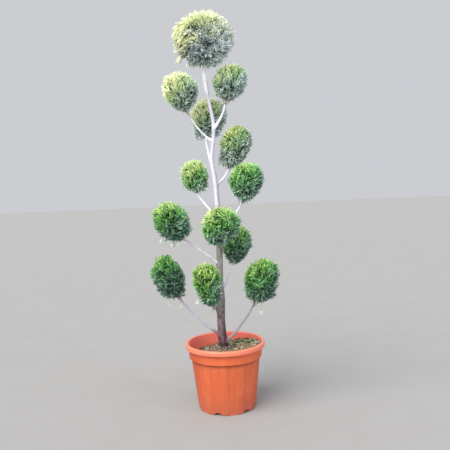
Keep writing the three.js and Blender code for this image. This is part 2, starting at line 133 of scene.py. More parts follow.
# How each ball looks, where it isn't like the plain one: its ramp of greens, how much darker it is, how
# much lighter its greens are painted towards the sun, how much warmer it is, its share of pale tips, how
# full its skirt is, how long its sprays are, the number of bare twigs that fan into it, and how much slimmer
# its bough is than in the table above. Its swells, shades (painted shade where above 0, painted light where
# below 0), warms (towards the sunny greens, partly painted sun) and hangs (where its sprays droop) are rows
# of compass angle and rise in degrees, width in degrees, and amount. Nothing grows in its gaps, which run
# through it from front to back: how far right of and above its middle, half the width and half the height.
PLAIN_LOOKS = dict(ramp="low", dark=0, contrast=0.85, warm=0, pale=0.05, skirt=0.08, long=1.0, fan=4, slim=0,
                   swells=(), shades=(), warms=(), hangs=(), gaps=())
BALL_LOOKS = {
    "crown": dict(ramp="crown", dark=-0.75, contrast=0.7, skirt=0.03, long=1.25, warm=0.05, pale=0,
                  swells=[(188, -36, 22, 0.10), (278, -18, 11, -0.22), (266, 9, 8, -0.09),
                          (236, -20, 8, -0.07), (0, 90, 50, -0.05)],
                  shades=[(278, -18, 12, 2.4), (273, 9, 9, 2.4), (254, -38, 17, 1.9), (230, -10, 8, 2.6),
                          (233, -32, 9, 1.6), (210, -14, 12, -1.6), (249, 0, 7, -4.2), (249, -17, 7, -4.8),
                          (259, 6, 6, -1.6), (260, -13, 6, -4.2), (301, -15, 10, 2.5), (310, 4, 8, -1.4),
                          (322, -24, 24, -1.4), (283, -37, 8, -1.3), (314, -28, 9, -1.0)],
                  warms=[(214, -14, 20, 0.9), (236, -20, 9, -0.5), (252, -8, 10, 0.9), (254, -38, 16, -0.7),
                         (278, -18, 13, -1.6), (266, 9, 8, -0.8), (330, -25, 40, -0.05)],
                  hangs=[(205, -5, 45, 1.2)], gaps=[(-0.070, -0.086, 0.0065, 0.027)]),
    "upper_left": dict(ramp="high", slim=0.0010, dark=-1.5, contrast=1.0, fan=7,
                       swells=[(0, 85, 45, -0.04)], warms=[(200, 10, 50, 0.5), (330, 0, 50, -0.5)]),
    "upper_right": dict(ramp="high", slim=0.0007, warm=-0.38, dark=-0.9, fan=7),
    "upper_rear": dict(ramp="high", dark=-1.25, warm=-0.2, swells=[(200, -48, 26, 0.12), (195, -5, 35, 0.05)],
                       warms=[(225, 40, 38, 0.9), (0, -10, 50, -0.5)],
                       shades=[(240, 45, 32, -0.9), (300, -30, 40, 0.5)]),
    "middle_right": dict(ramp="high", dark=-0.25, contrast=0.45, warm=-0.30,
                         swells=[(180, -45, 30, 0.16), (0, 25, 24, 0.06), (0, -38, 28, -0.13),
                                 (0, 85, 45, -0.05)],
                         warms=[(225, 40, 34, 0.25), (0, 10, 45, -0.6)],
                         shades=[(0, 0, 40, 0.4), (250, -45, 34, -0.8)]),
    "middle_left": dict(dark=-1.5, skirt=0.14, warm=0.3,
                        swells=[(0, 10, 40, -0.04), (180, 10, 40, -0.03), (0, -45, 26, 0.10)]),
    "lower_right": dict(dark=-0.55, warm=-0.3,
                        swells=[(270, -75, 15, 0.07), (180, -30, 26, 0.04), (0, 85, 45, -0.05)]),
    "lower_left": dict(dark=0.1, warm=-0.28, shades=[(350, -12, 40, -0.7), (270, -60, 32, 0.6)]),
    "front": dict(dark=-0.85, warm=-0.05, swells=[(180, -40, 24, 0.12), (340, -10, 30, 0.03)]),
    "rear": dict(dark=-0.3, warm=-0.3),
    "foot_left": dict(warm=-0.5, dark=0.65, fan=6, skirt=0.05,
                      swells=[(190, 50, 32, -0.13), (0, 25, 34, -0.17), (330, -38, 28, 0.22),
                              (200, -62, 24, 0.12)]),
    "foot_front": dict(dark=0.35, warm=0.05, skirt=0.12, shades=[(280, -50, 45, -1.8), (350, -20, 42, -1.9)],
                       warms=[(280, -50, 40, 0.6)],
                       swells=[(200, -45, 26, 0.14), (340, -50, 24, 0.20), (0, 55, 28, 0.10),
                               (0, 90, 30, -0.10), (330, -75, 18, 0.10)]),
    "foot_right": dict(dark=0.35, skirt=0.13, warm=-0.25, shades=[(20, 15, 35, 0.5), (270, -60, 35, -0.4)],
                       warms=[(265, -60, 30, 0.5)]),
}

# Small tufts that hang on a bare twig below a ball: where the twig ends, right of, behind and above the
# ball's middle, the number of sprays on it, and their length.
STRAGGLERS = {
    "crown": [(-0.095, 0.0, -0.066, 5, 0.027), (-0.086, -0.016, -0.062, 4, 0.025),
              (-0.090, 0.018, -0.064, 4, 0.025), (-0.060, -0.014, -0.086, 3, 0.022),
              (-0.054, 0.008, -0.090, 4, 0.020), (-0.010, -0.024, -0.098, 4, 0.018)],
    "lower_left": [(-0.037, -0.010, -0.062, 14, 0.0200), (0.001, -0.014, -0.074, 16, 0.0230),
                   (0.018, -0.020, -0.070, 12, 0.0220)],
    "foot_left": [(0.004, -0.012, -0.099, 12, 0.0162), (0.042, -0.008, -0.110, 10, 0.0162)],
    "foot_front": [(-0.038, -0.010, -0.060, 16, 0.0190)],
    "foot_right": [(-0.005, -0.012, -0.116, 8, 0.0165)],
}

# Measures of the foliage, the twigs and the floor

TUFT_AREA = 0.00046  # square metres of a ball's surface for each side twig and its tuft of sprays
SPRAY_AREA = 0.000062  # and for each spray
SPRAY_LENGTH, INNER_LENGTH = 0.030, 0.030
INNER_SHARE = 0.26  # inner sprays as a share of the outer ones
LUMPS = 0.08  # how far the clipped surface swells and sinks, as a share of a ball
# SUNWARD points towards the sun, where the greens are painted lighter; the sunny greens, partly painted sun,
# lie towards WARM_SIDE.
SUNWARD = np.array([-0.50, -0.35, 0.79])
WARM_SIDE = np.array([-0.42, -0.08, 0.90])
WARM_EDGES = [0.60, 0.30, -0.05, -0.35]  # the warmth below which a shoot is on the next side of its ramp
MIDDLE_STEP = 2.50  # the step of a shoot that faces neither towards the sun nor away
TRUNK_CLEARANCE, BOUGH_CLEARANCE = 0.008, 0.004  # what counts as inside a limb, from its centre line
STEM_POINTS = 60
MAIN_TWIGS, USUAL_WIDTH = 18, 0.14  # the main twigs of a ball of the usual width
MAIN_RADIUS, SIDE_RADIUS, STALK_WIDTH = 0.0021, 0.0011, 0.0012
FLOOR_REACH = 14.0


# Numbers and curves

def unit(v):
    """Each row scaled to length 1."""
    return v / np.maximum(np.linalg.norm(v, axis=-1, keepdims=True), 1e-12)


def dot(a, b):
    """The scalar product of each row pair."""
    return (a * b).sum(-1)


def fade(x, low, high):
    """0 below low, 1 above high, and 3t² - 2t³ between them."""
    t = np.clip((x - low) / (high - low), 0, 1)
    return t * t * (3 - 2 * t)


def bell(x):
    """The bell curve e^-x²."""
    return np.exp(-(x**2))


def mix(a, b, t):
    """a at t = 0, b at t = 1, and evenly between them."""
    return a + (b - a) * t


def lattice(points, cell, seed):
    """Smooth noise from 0 to 1: a hashed value on each corner of a cubic lattice, blended across each
    cell."""
    place = np.asarray(points, float) / cell
    low = np.floor(place)
    t = place - low
    t = t * t * (3 - 2 * t)
    low = low.astype(np.int64)
    total = 0.0
    for corner in itertools.product((0, 1), repeat=3):
        x, y, z = (low[..., k] + corner[k] for k in range(3))
        value = (x * 73856093) ^ (y * 19349663) ^ (z * 83492791) ^ (seed * 49979687)
        value = (value ^ (value >> 13)) * 1274126177 & 0x7FFFFFFF
        value = (value ^ (value >> 15)) * 668265263 & 0x7FFFFFFF
        share = np.prod([t[..., k] if corner[k] else 1 - t[..., k] for k in range(3)], axis=0)
        total = total + share * ((value >> 7) & 0xFFFF) / 0xFFFF
    return total


def wave_through(bends, per_span=40):
    """A smooth curve through the bends: in each span a cubic whose end slopes come from the square roots of
    the distances between four neighbouring bends."""
    points = np.vstack([2 * bends[0] - bends[1], bends, 2 * bends[-1] - bends[-2]])
    p0, p1, p2, p3 = (points[k:len(points) - 3 + k, None] for k in range(4))
    pairs = ((p0, p1), (p1, p2), (p2, p3))
    d0, d1, d2 = (np.sqrt(np.linalg.norm(b - a, axis=-1, keepdims=True)) for a, b in pairs)
    out = ((p1 - p0) / d0 - (p2 - p0) / (d0 + d1) + (p2 - p1) / d1) * d1
    into = ((p2 - p1) / d1 - (p3 - p1) / (d1 + d2) + (p3 - p2) / d2) * d1
    t = (np.arange(per_span) / per_span)[None, :, None]
    curve = ((2 * t**3 - 3 * t**2 + 1) * p1 + (t**3 - 2 * t**2 + t) * out
             + (3 * t**2 - 2 * t**3) * p2 + (t**3 - t**2) * into)
    return np.vstack([curve.reshape(-1, 3), bends[-1]])


def evenly(points, count):
    """The same line through count points, evenly spaced along it, and its length."""
    run = np.concatenate([[0], np.cumsum(np.linalg.norm(np.diff(points, axis=0), axis=1))])
    at = np.linspace(0, run[-1], count)
    return np.stack([np.interp(at, run, points[:, k]) for k in range(3)], 1), run[-1]


def arc(start, bend, end, share):
    """The quadratic curve (1-t)² start + 2t(1-t) bend + t² end, at each share t."""
    t = np.asarray(share, float)[..., None]
    return (1 - t) ** 2 * start + 2 * t * (1 - t) * bend + t**2 * end


def circle(sides):
    """The angles of points evenly spaced round a circle."""
    return np.linspace(0, 2 * np.pi, sides, endpoint=False)


def pointing(compass, rise=0.0):
    """The unit vector at a compass angle and a rise, in degrees: (cos c cos r, sin c cos r, sin r)."""
    turn, tilt = math.radians(compass), math.radians(rise)
    return np.array([math.cos(turn) * math.cos(tilt), math.sin(turn) * math.cos(tilt), math.sin(tilt)])


def golden_directions(count, jitter):
    """Unit vectors spread over a sphere by the golden angle, each turned by its jitter."""
    step = np.arange(count)
    rise = 1 - (2 * (step + 0.5)) / count
    ring = np.sqrt(1 - rise * rise)
    turn = GOLDEN * step + jitter
    return np.stack([ring * np.cos(turn), ring * np.sin(turn), rise], 1)


# Meshes

def into_scene(name, data, axes=None, place=(0, 0, 0)):
    """An object for a mesh, a lamp or a camera, whose own axes may be turned to three directions."""
    thing = bpy.data.objects.new(name, data)
    bpy.context.scene.collection.objects.link(thing)
    if axes is not None:
        thing.matrix_world = Matrix.Translation(place) @ Matrix(np.column_stack(axes).tolist()).to_4x4()
    return thing


def mesh_thing(name, points, faces, materials=(), shade=None, smooth=False):
    """An object whose mesh has these points and groups of faces. shade is each face's material."""
    corners = np.concatenate([rows.ravel() for rows in faces])
    sizes = np.concatenate([np.full(len(rows), rows.shape[1]) for rows in faces])
    mesh = bpy.data.meshes.new(name)
    mesh.vertices.add(len(points))
    mesh.vertices.foreach_set("co", np.ascontiguousarray(points, np.float32).ravel())
    mesh.loops.add(len(corners))
    mesh.loops.foreach_set("vertex_index", corners.astype(np.int32))
    mesh.polygons.add(len(sizes))
    mesh.polygons.foreach_set("loop_start", (np.cumsum(sizes) - sizes).astype(np.int32))
    mesh.polygons.foreach_set("use_smooth", np.full(len(sizes), smooth))
    for material in materials:
        mesh.materials.append(material)
    if shade is not None:
        mesh.polygons.foreach_set("material_index", np.asarray(shade, np.int32))
    mesh.update(calc_edges=True)
    mesh.validate()
    return into_scene(name, mesh)


def mesh_piece(name, points, faces, materials, replaced=(), shade=None, smooth=True):
    """A piece of the plant or its pot, and the nodes that it replaces."""
    thing = mesh_thing(name, points, faces, materials, shade, smooth)
    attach(thing, "root")
    if replaced:
        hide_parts(*replaced)
    return thing


def store(thing, name, values):
    """Keeps a number or a vector for each point of a piece, for its material to read."""
    kind, field = ("FLOAT", "value") if values.ndim == 1 else ("FLOAT_VECTOR", "vector")
    layer = thing.data.attributes.new(name, kind, "POINT")
    layer.data.foreach_set(field, values.astype(np.float32).ravel())


def ring_faces(rings, sides):
    """The quads between closed rings of points, and the two fans that shut the ends. The poles come last."""
    i, j = np.meshgrid(np.arange(rings - 1), np.arange(sides), indexing="ij")
    k = (j + 1) % sides
    quads = np.stack([i * sides + j, i * sides + k, (i + 1) * sides + k, (i + 1) * sides + j], -1)
    j = np.arange(sides)
    k = (j + 1) % sides
    low, high, top = rings * sides, rings * sides + 1, (rings - 1) * sides
    fans = np.concatenate([
        np.stack([np.full(sides, low), k, j], 1),
        np.stack([np.full(sides, high), top + j, top + k], 1),
    ])
    return quads.reshape(-1, 4), fans


def spokes(path, across, sides):
    """A path's heading at each point, and the directions cos a n + sin a b round it, where n is across with
    its share along the heading taken out, and b the vector product of the heading with n."""
    heading = unit(np.gradient(path, axis=-2))
    normal = unit(across - dot(across, heading)[..., None] * heading)
    angle = circle(sides)[:, None]
    side = np.cross(heading, normal)
    return heading, np.cos(angle) * normal[..., None, :] + np.sin(angle) * side[..., None, :]


def limb(path, across, radius):
    """A closed limb: point j of ring i is path[i] + radius[i, j] times spoke j."""
    rings = path[:, None] + radius[..., None] * spokes(path, across, radius.shape[1])[1]
    return np.vstack([rings.reshape(-1, 3), path[:1], path[-1:]]), ring_faces(*radius.shape)


def rods(start, bend, end, thick, thin, rings, sides):
    """Many thin twigs at once: rings of points on each one's quadratic curve, whose radius runs from thick
    to thin, with a pole at each end."""
    share = np.linspace(0, 1, rings)
    path = arc(start[:, None], bend[:, None], end[:, None], share)
    chord = unit(end - start)
    across = unit(np.cross(chord, np.where(np.abs(chord[:, 2:]) > 0.9, [1.0, 0, 0], UP)))[:, None]
    heading, spoke = spokes(path, across, sides)
    radius = mix(thick[:, None], thin[:, None], share)[..., None, None]
    body = (path[:, :, None] + radius * spoke).reshape(len(start), -1, 3)
    points = np.concatenate([body, path[:, :1], path[:, -1:] + heading[:, -1:] * thin[:, None, None]], 1)
    step = (np.arange(len(start)) * points.shape[1])[:, None, None]
    faces = [(rows + step).reshape(-1, rows.shape[1]) for rows in ring_faces(rings, sides)]
    return points.reshape(-1, 3), faces


SPINDLE = np.array([[0, 2, 1], [0, 3, 2], [0, 1, 3], [4, 1, 2], [4, 2, 3], [4, 3, 1]])
SHOOT = np.array([[0, 2, 3], [0, 3, 1], [0, 1, 2], [3, 2, 1]])


def spindles(root, tip, width, face, belly=0.42, thickness=0.6):
    """Many slim closed chips of six faces: a root, a tip, and between them a triangle whose long side is
    width and lies square to face, with its third point lifted towards face."""
    heading = unit(tip - root)
    side = unit(np.cross(heading, face))
    lifted = np.cross(side, heading)
    middle = mix(root, tip, belly)
    half = 0.5 * width[..., None]
    ring = [middle - side * half - lifted * half * 0.3, middle + side * half - lifted * half * 0.3,
            middle + lifted * half * 2 * thickness]
    points = np.stack([root, *ring, tip], -2).reshape(-1, 3)
    return points, (SPINDLE + 5 * np.arange(len(points) // 5)[:, None, None]).reshape(-1, 3)


def shoots(root, tip, width, face, belly=0.6, thickness=0.7):
    """Many slim closed shoots of four faces: a ridge from root to tip, and under it, at the belly, an edge as
    long as width that lies across the shoot and square to face."""
    heading = unit(tip - root)
    side = unit(np.cross(heading, face))
    half = 0.5 * width[..., None]
    middle = mix(root, tip, belly) - np.cross(side, heading) * half * thickness
    points = np.stack([root, middle - side * half, middle + side * half, tip], -2).reshape(-1, 3)
    return points, (SHOOT + 4 * np.arange(len(points) // 4)[:, None, None]).reshape(-1, 3)


def joined(parts):
    """Several (points, groups of faces, shade) as one. A shade is one for the part, or one for each face."""
    points, faces, shades, base = [], [], [], 0
    for part_points, part_faces, shade in parts:
        points.append(part_points)
        for rows in part_faces:
            faces.append(rows + base)
            shades.append(np.full(len(rows), shade) if np.ndim(shade) == 0 else shade)
        base += len(part_points)
    return np.vstack(points), faces, np.concatenate(shades)


# Materials

def node(tree, kind, inputs=(), **settings):
    """A new node with its settings, whose inputs are plain values or sockets to link."""
    made = tree.nodes.new(kind)
    for key, value in settings.items():
        setattr(made, key, value)
    for key, value in dict(inputs).items():
        if isinstance(value, bpy.types.NodeSocket):
            tree.links.new(value, made.inputs[key])
        else:
            made.inputs[key].default_value = value
    return made


def share_node(tree, value, low, high, to_low=0.0, to_high=1.0):
    """to_low where the value is low, to_high where it is high, and a smooth step between."""
    return node(tree, "ShaderNodeMapRange", {
        "Value": value, "From Min": low, "From Max": high, "To Min": to_low, "To Max": to_high},
        interpolation_type="SMOOTHSTEP").outputs["Result"]


def group(name, vector, numbers, results):
    """A node group with one vector and some numbers going in and numbers coming out, and the sockets of its
    ends."""
    tree = bpy.data.node_groups.new(name, "ShaderNodeTree")
    tree.interface.new_socket(vector, in_out="INPUT", socket_type="NodeSocketVector")
    for way, labels in (("INPUT", numbers), ("OUTPUT", results)):
        for label in labels:
            tree.interface.new_socket(label, in_out=way, socket_type="NodeSocketFloat")
    return tree, tree.nodes.new("NodeGroupInput").outputs, tree.nodes.new("NodeGroupOutput").inputs


def mottle_group():
    """Soft patches: noise of a given size, sharpened to a mask from 0 to 1."""
    tree, given, made = group("mottle", "Vector", ["Scale", "Detail", "Low", "High"], ["Mask"])
    noise = node(tree, "ShaderNodeTexNoise", {label: given[label] for label in ("Vector", "Scale", "Detail")})
    tree.links.new(share_node(tree, noise.outputs["Fac"], given["Low"], given["High"]), made["Mask"])
    return tree


def bark_group():
    """Streaks that run along a limb, from noise on its grain squeezed lengthwise, and finer flecks across
    them."""
    tree, given, made = group("bark streaks", "Grain", ["Squeeze", "Scale"], ["Streak", "Fleck", "Height"])
    squeeze = node(tree, "ShaderNodeCombineXYZ", {"X": 1.0, "Y": 1.0, "Z": given["Squeeze"]})
    along = node(tree, "ShaderNodeVectorMath", {0: given["Grain"], 1: squeeze.outputs[0]},
                 operation="MULTIPLY")
    coarse = node(tree, "ShaderNodeTexNoise", {
        "Vector": along.outputs[0], "Scale": given["Scale"], "Detail": 4.0, "Roughness": 0.6})
    fleck = node(tree, "ShaderNodeTexNoise", {
        "Vector": given["Grain"], "Scale": 420.0, "Detail": 3.0, "Roughness": 0.65}).outputs["Fac"]
    streak = share_node(tree, coarse.outputs["Fac"], 0.36, 0.66)
    height = node(tree, "ShaderNodeMath", {0: fleck, 1: 0.3, 2: streak}, operation="MULTIPLY_ADD").outputs[0]
    for label, result in (("Streak", streak), ("Fleck", fleck), ("Height", height)):
        tree.links.new(result, made[label])
    return tree


def linear(color):
    """The linear colour of three 0 to 255 screen values, opaque."""
    value = np.array(color) / 255
    return (*np.where(value <= 0.04045, value / 12.92, ((value + 0.055) / 1.055) ** 2.4), 1)


class Finish:
    """A material and the few steps that build it up from its shader node. Colours are 0 to 255 screen
    values, and places and sizes are in metres in the frame of the whole plant."""

    def __init__(self, name, color, roughness, specular):
        self.material = bpy.data.materials.new(name)
        self.material.use_nodes = True
        self.tree = self.material.node_tree
        self.shader = self.tree.nodes["Principled BSDF"]
        self.color = linear(color)
        values = {"Base Color": self.color, "Roughness": roughness, "Specular IOR Level": specular}
        for label, value in values.items():
            self.shader.inputs[label].default_value = value

    def add(self, kind, inputs=(), **settings):
        """A new node of this material."""
        return node(self.tree, kind, inputs, **settings)

    def place(self):
        """Where each point lies."""
        return self.add("ShaderNodeTexCoord").outputs["Object"]

    def stored(self, name, output="Vector"):
        """What store() kept under this name."""
        return self.add("ShaderNodeAttribute", attribute_name=name).outputs[output]

    def split(self, vector):
        """The three numbers of a vector."""
        return self.add("ShaderNodeSeparateXYZ", {"Vector": vector}).outputs

    def share(self, value, low, high, to_low=0.0, to_high=1.0):
        """The smooth step of share_node."""
        return share_node(self.tree, value, low, high, to_low, to_high)

    def near(self, point, far, close, most):
        """0 further than far from a point, and most nearer to it than close."""
        gap = self.add("ShaderNodeVectorMath", {0: self.place(), 1: point}, operation="DISTANCE")
        return self.share(gap.outputs["Value"], far, close, 0.0, most)

    def patches(self, scale, low, high, detail=3.0):
        """A mask of soft patches, finer with a larger scale."""
        return self.add("ShaderNodeGroup", {
            "Vector": self.place(), "Scale": scale, "Detail": detail, "Low": low, "High": high},
            node_tree=MOTTLE).outputs["Mask"]

    def math(self, operation, a, b):
        """Two values put together by an operation."""
        return self.add("ShaderNodeMath", {0: a, 1: b}, operation=operation).outputs[0]

    def times(self, product, *others):
        """All of them multiplied."""
        for other in others:
            product = self.math("MULTIPLY", product, other)
        return product

    def tint(self, color, *masks):
        """Lays a colour over what is there, by the product of the masks. The colours of a Mix node are its
        sockets 6 and 7 on the way in, and 2 on the way out."""
        blend = self.add("ShaderNodeMix", {0: self.times(*masks), 6: self.color, 7: linear(color)},
                         data_type="RGBA")
        self.color = blend.outputs[2]

    def relief(self, height, distance, strength, rough=None):
        """Bumps of a distance in metres, and roughness where it changes."""
        bump = self.add("ShaderNodeBump", {"Height": height, "Distance": distance, "Strength": strength})
        self.tree.links.new(bump.outputs["Normal"], self.shader.inputs["Normal"])
        if rough is not None:
            self.tree.links.new(rough, self.shader.inputs["Roughness"])

    def done(self):
        """The material, with its colour linked."""
        if isinstance(self.color, bpy.types.NodeSocket):
            self.tree.links.new(self.color, self.shader.inputs["Base Color"])
        return self.material


MOTTLE, BARK = mottle_group(), bark_group()


def pot_plastic():
    """Matt orange plastic: pinker and smoother on the lip, whose lighter pink is partly painted sheen, and
    lighter and pinker on the inner wall as painted light; brighter on the collar, with soft patches, painted
    shade along the flutes' edges, in the flutes, under the steps and on the body's left and right sides,
    darker towards the foot, and dust near the foot. The mark holds how close a point is to a flute's edge,
    how far it lies in a flute, and whether it is on the inner wall."""
    f = Finish("pot_plastic", (206, 98, 57), 0.5, 0.4)
    sideways, _, height = f.split(f.place())
    edge, flute, inner = f.split(f.stored("mark"))
    lip = f.share(height, LIP_FOOT - 0.0010, LIP_FOOT + 0.0002)
    # Painted shadow under the collar's step and under the lip.
    shadow_under_collar = f.times(f.share(height, 0.178, 0.190), f.share(height, 0.1965, 0.1945))
    shadow_under_lip = f.times(f.share(height, 0.2255, 0.2295), f.share(height, 0.2312, 0.2306))
    for color, *masks in (
            ((222, 104, 62), f.share(height, 0.193, 0.197), 0.45),
            ((190, 80, 46), f.patches(14, 0.42, 0.68), 0.30),
            ((174, 82, 58), f.share(height, 0.13, 0.0, 0.0, 0.55)),
            ((232, 136, 96), f.patches(22, 0.50, 0.72, 2.0), 0.16),
            # Painted shade on the body's left and right sides.
            ((178, 76, 40), f.share(sideways, -0.070, -0.125, 0.0, 0.70)),
            ((178, 76, 40), f.share(sideways, 0.095, 0.140, 0.0, 0.40)),
            # Painted shade in the flutes and along their edges, stronger under the collar.
            ((184, 80, 44), flute, 0.10),
            ((150, 66, 42), edge, f.share(height, 0.06, 0.19, 0.04, 0.26)),
            # Painted shadow under the collar and under the lip.
            ((128, 58, 38), shadow_under_collar, 0.45),
            ((140, 62, 40), shadow_under_lip, 0.45),
            # The lip's lighter pink is partly its own colour and partly painted sheen.
            ((228, 127, 99), lip, 0.85),
            ((222, 108, 80), lip, f.patches(30, 0.45, 0.65), 0.35),
            # Painted light on the inner wall: lighter and pinker.
            ((238, 121, 103), inner, 0.90),
            ((164, 104, 80), f.patches(60, 0.40, 0.66, 5.0), f.share(height, 0.075, 0.0, 0.0, 0.55)),
            ((170, 100, 72), f.patches(240, 0.63, 0.70, 2.0), 0.30)):
        f.tint(color, *masks)
    rough = f.math("SUBTRACT", f.share(f.patches(90, 0.35, 0.65), 0, 1, 0.44, 0.60), f.times(lip, 0.14))
    f.relief(f.patches(900, 0.2, 0.8, 2.0), 0.0004, 0.25, rough)
    return f.done()


def compost():
    """Dark damp compost with lighter crumbs and a green bloom, darkest round the trunk's foot."""
    f = Finish("compost", (80, 64, 62), 0.95, 0.2)
    for color, size, low, high, detail, most in (
            ((158, 128, 110), 120, 0.44, 0.60, 4.0, 0.85), ((124, 118, 92), 34, 0.50, 0.66, 4.0, 0.40),
            ((160, 112, 90), 26, 0.54, 0.66, 2.0, 0.50), ((196, 184, 168), 420, 0.58, 0.68, 2.0, 0.7)):
        f.tint(color, f.patches(size, low, high, detail), most)
    f.tint((62, 50, 54), f.near((0.004, -0.016, MOUND_TOP), 0.050, 0.018, 0.70))
    f.relief(f.patches(500, 0.2, 0.8, 4.0), 0.002, 0.7)
    return f.done()


def bark(name, pale, dark, blotch, stages):
    """Smooth young bark: streaks that follow the limb and blotches, fewer of them higher up, and a colour
    for each stage further down: the height where it starts, the height where it is full, and the colour.
    Returns the finish, and each point's height, place across its limb and way along it."""
    f = Finish(name, pale, 0.75, 0.35)
    grain = f.stored("grain")
    across, _, along = f.split(grain)
    streak, fleck, bumps = f.add("ShaderNodeGroup", {"Grain": grain, "Squeeze": 0.16, "Scale": 220.0},
                                 node_tree=BARK).outputs
    height = f.split(f.place())["Z"]
    f.tint(dark, streak, f.share(height, 1.0, 0.4, 0.25, 0.6))
    f.tint(blotch, f.patches(26, 0.50, 0.70), f.share(height, 1.0, 0.4, 0.12, 0.4))
    cover = f.share(streak, 0, 1, 1.0, 0.65)
    for start, full, color in stages:
        f.tint(color, f.share(height, start, full), cover)
    f.tint((214, 204, 200), f.share(fleck, 0.56, 0.68), f.share(height, 0.24, 0.45, 0.12, 0.35))
    f.relief(bumps, 0.0012, 0.6, f.share(streak, 0, 1, 0.85, 0.65))
    return f, height, across, along


def trunk_bark():
    """Nearly white above, partly as painted glare, with lilac-grey bands of painted shade among the balls and
    a grey-brown band of painted shadow behind the front ball, mauve and brown towards the foot, with dark
    scars, and painted shade on its right side.
    """
    # Of the stages, those from 1.19, 1.060 and 0.96 are lilac-grey bands of painted shade, and the one from
    # 0.68 is painted shadow of the front ball. The near-white above is partly painted glare.
    f, height, across, _ = bark("trunk_bark", (255, 253, 255), (150, 134, 140), (158, 142, 136), [
        (1.19, 1.165, (216, 212, 228)), (1.08, 1.06, (238, 235, 246)), (1.060, 1.035, (206, 203, 218)),
        (0.96, 0.93, (224, 219, 230)), (0.80, 0.66, (196, 191, 190)), (0.68, 0.58, (140, 132, 124)),
        (0.48, 0.39, (132, 118, 120)), (0.36, 0.29, (98, 74, 82)), (0.290, 0.258, (64, 40, 52)),
        (0.250, 0.238, (50, 38, 40))])
    for color, *masks in (
            ((168, 128, 126), f.patches(60, 0.50, 0.62), f.share(height, 0.42, 0.30, 0.0, 0.35)),
            # Painted shade on the right side: lilac from 1.21 down to 0.60, brown from 0.76 down to 0.55, and
            # dark purple below 0.42.
            ((158, 152, 184), f.share(across, 0.002, 0.007), f.share(height, 1.212, 1.178),
             f.share(height, 0.60, 0.74, 0.0, 0.55)),
            ((104, 90, 82), f.share(across, 0.000, 0.003), f.share(height, 0.55, 0.59),
             f.share(height, 0.76, 0.68, 0.0, 0.70)),
            ((58, 36, 48), f.share(across, 0.002, 0.010), f.share(height, 0.42, 0.28, 0.0, 0.60)),
            ((52, 38, 42), f.stored("scar", "Fac"), f.share(height, 0.62, 0.42, 0.20, 0.90))):
        f.tint(color, *masks)
    return f.done()


def bough_bark():
    """Pale, greyer low down and on the low boughs right of the trunk as painted shade, brown at the low forks
    and on the short bough in front of the trunk's foot, and fawn on the one above it."""
    # The stage below 0.50 is painted shade.
    f, height, _, along = bark("bough_bark", (244, 241, 255), (222, 214, 232), (212, 200, 208), [
        (0.50, 0.36, (174, 171, 187))])
    right = f.split(f.place())["X"]
    # Painted shade: grey on the low boughs right of the trunk.
    f.tint((155, 153, 158), f.share(right, 0.012, 0.030), f.share(height, 0.45, 0.41, 0.0, 0.85))
    f.tint((122, 94, 92), f.share(along, 0.065, 0.020), f.share(height, 0.42, 0.34, 0.0, 0.85))
    f.tint((124, 106, 104), f.near((-0.018, -0.030, 0.362), 0.060, 0.042, 0.9))
    f.tint((176, 171, 158), f.near((-0.006, -0.040, 0.600), 0.054, 0.042, 0.9))
    return f.done()


def plain(name, color, roughness=0.6, specular=0.3):
    """One plain colour, for things that are dealt out in several shades."""
    return Finish(name, color, roughness, specular).done()


# For each height on the tree: the sunny, the middle and the cool greens from lightest to darkest, the
# colour of the inside, and that of the few pale tips. The steps of a row are lit and shaded copies of one
# green, painted light and shade; the sunny and cool rows are partly the greens' own hue and partly painted
# sun and shade; the inside is dark partly as painted shade; and the crown's and the high greens are paler
# and greyer partly as painted glare.
CROWN_GREENS = (
    [(247, 250, 218), (232, 239, 180), (208, 219, 148), (182, 193, 132), (154, 164, 120), (124, 130, 106)],
    [(245, 248, 234), (220, 229, 200), (194, 206, 172), (168, 181, 152), (142, 154, 136), (106, 104, 114)],
    [(238, 245, 242), (213, 225, 221), (189, 203, 200), (166, 177, 180), (147, 150, 163), (108, 102, 130)],
    (106, 102, 120), (250, 244, 222),
)
HIGH_GREENS = (
    [(246, 250, 206), (224, 234, 150), (196, 210, 118), (166, 184, 102), (136, 154, 92), (108, 122, 84)],
    [(222, 240, 196), (182, 216, 150), (148, 188, 122), (120, 160, 106), (98, 134, 94), (80, 108, 84)],
    [(214, 230, 220), (184, 204, 194), (158, 180, 168), (134, 156, 146), (112, 132, 124), (92, 108, 102)],
    (96, 100, 84), (244, 246, 226),
)
LOW_GREENS = (
    [(222, 238, 168), (180, 216, 112), (146, 189, 84), (114, 158, 72), (90, 128, 64), (68, 98, 58)],
    [(168, 222, 146), (124, 192, 106), (92, 162, 82), (70, 134, 70), (56, 108, 62), (46, 86, 56)],
    [(184, 214, 190), (144, 182, 154), (114, 154, 130), (90, 126, 109), (72, 102, 92), (58, 81, 75)],
    (72, 82, 62), (224, 230, 218),
)
RAMPS = {"crown": CROWN_GREENS, "high": HIGH_GREENS, "low": LOW_GREENS}
SIDES = ("sunny", "bright", "middle", "soft", "cool")  # each second one is mixed from its neighbours
STEPS = 6
INSIDE, PALE = STEPS * len(SIDES), STEPS * len(SIDES) + 1
# Which of a ball's materials its inner sprays have, and in what shares: darker steps and the inside colour,
# dark partly as painted shade.
INNER_TONES = {10: 0.16, 15: 0.16, 16: 0.22, 22: 0.16, 28: 0.18, INSIDE: 0.12}


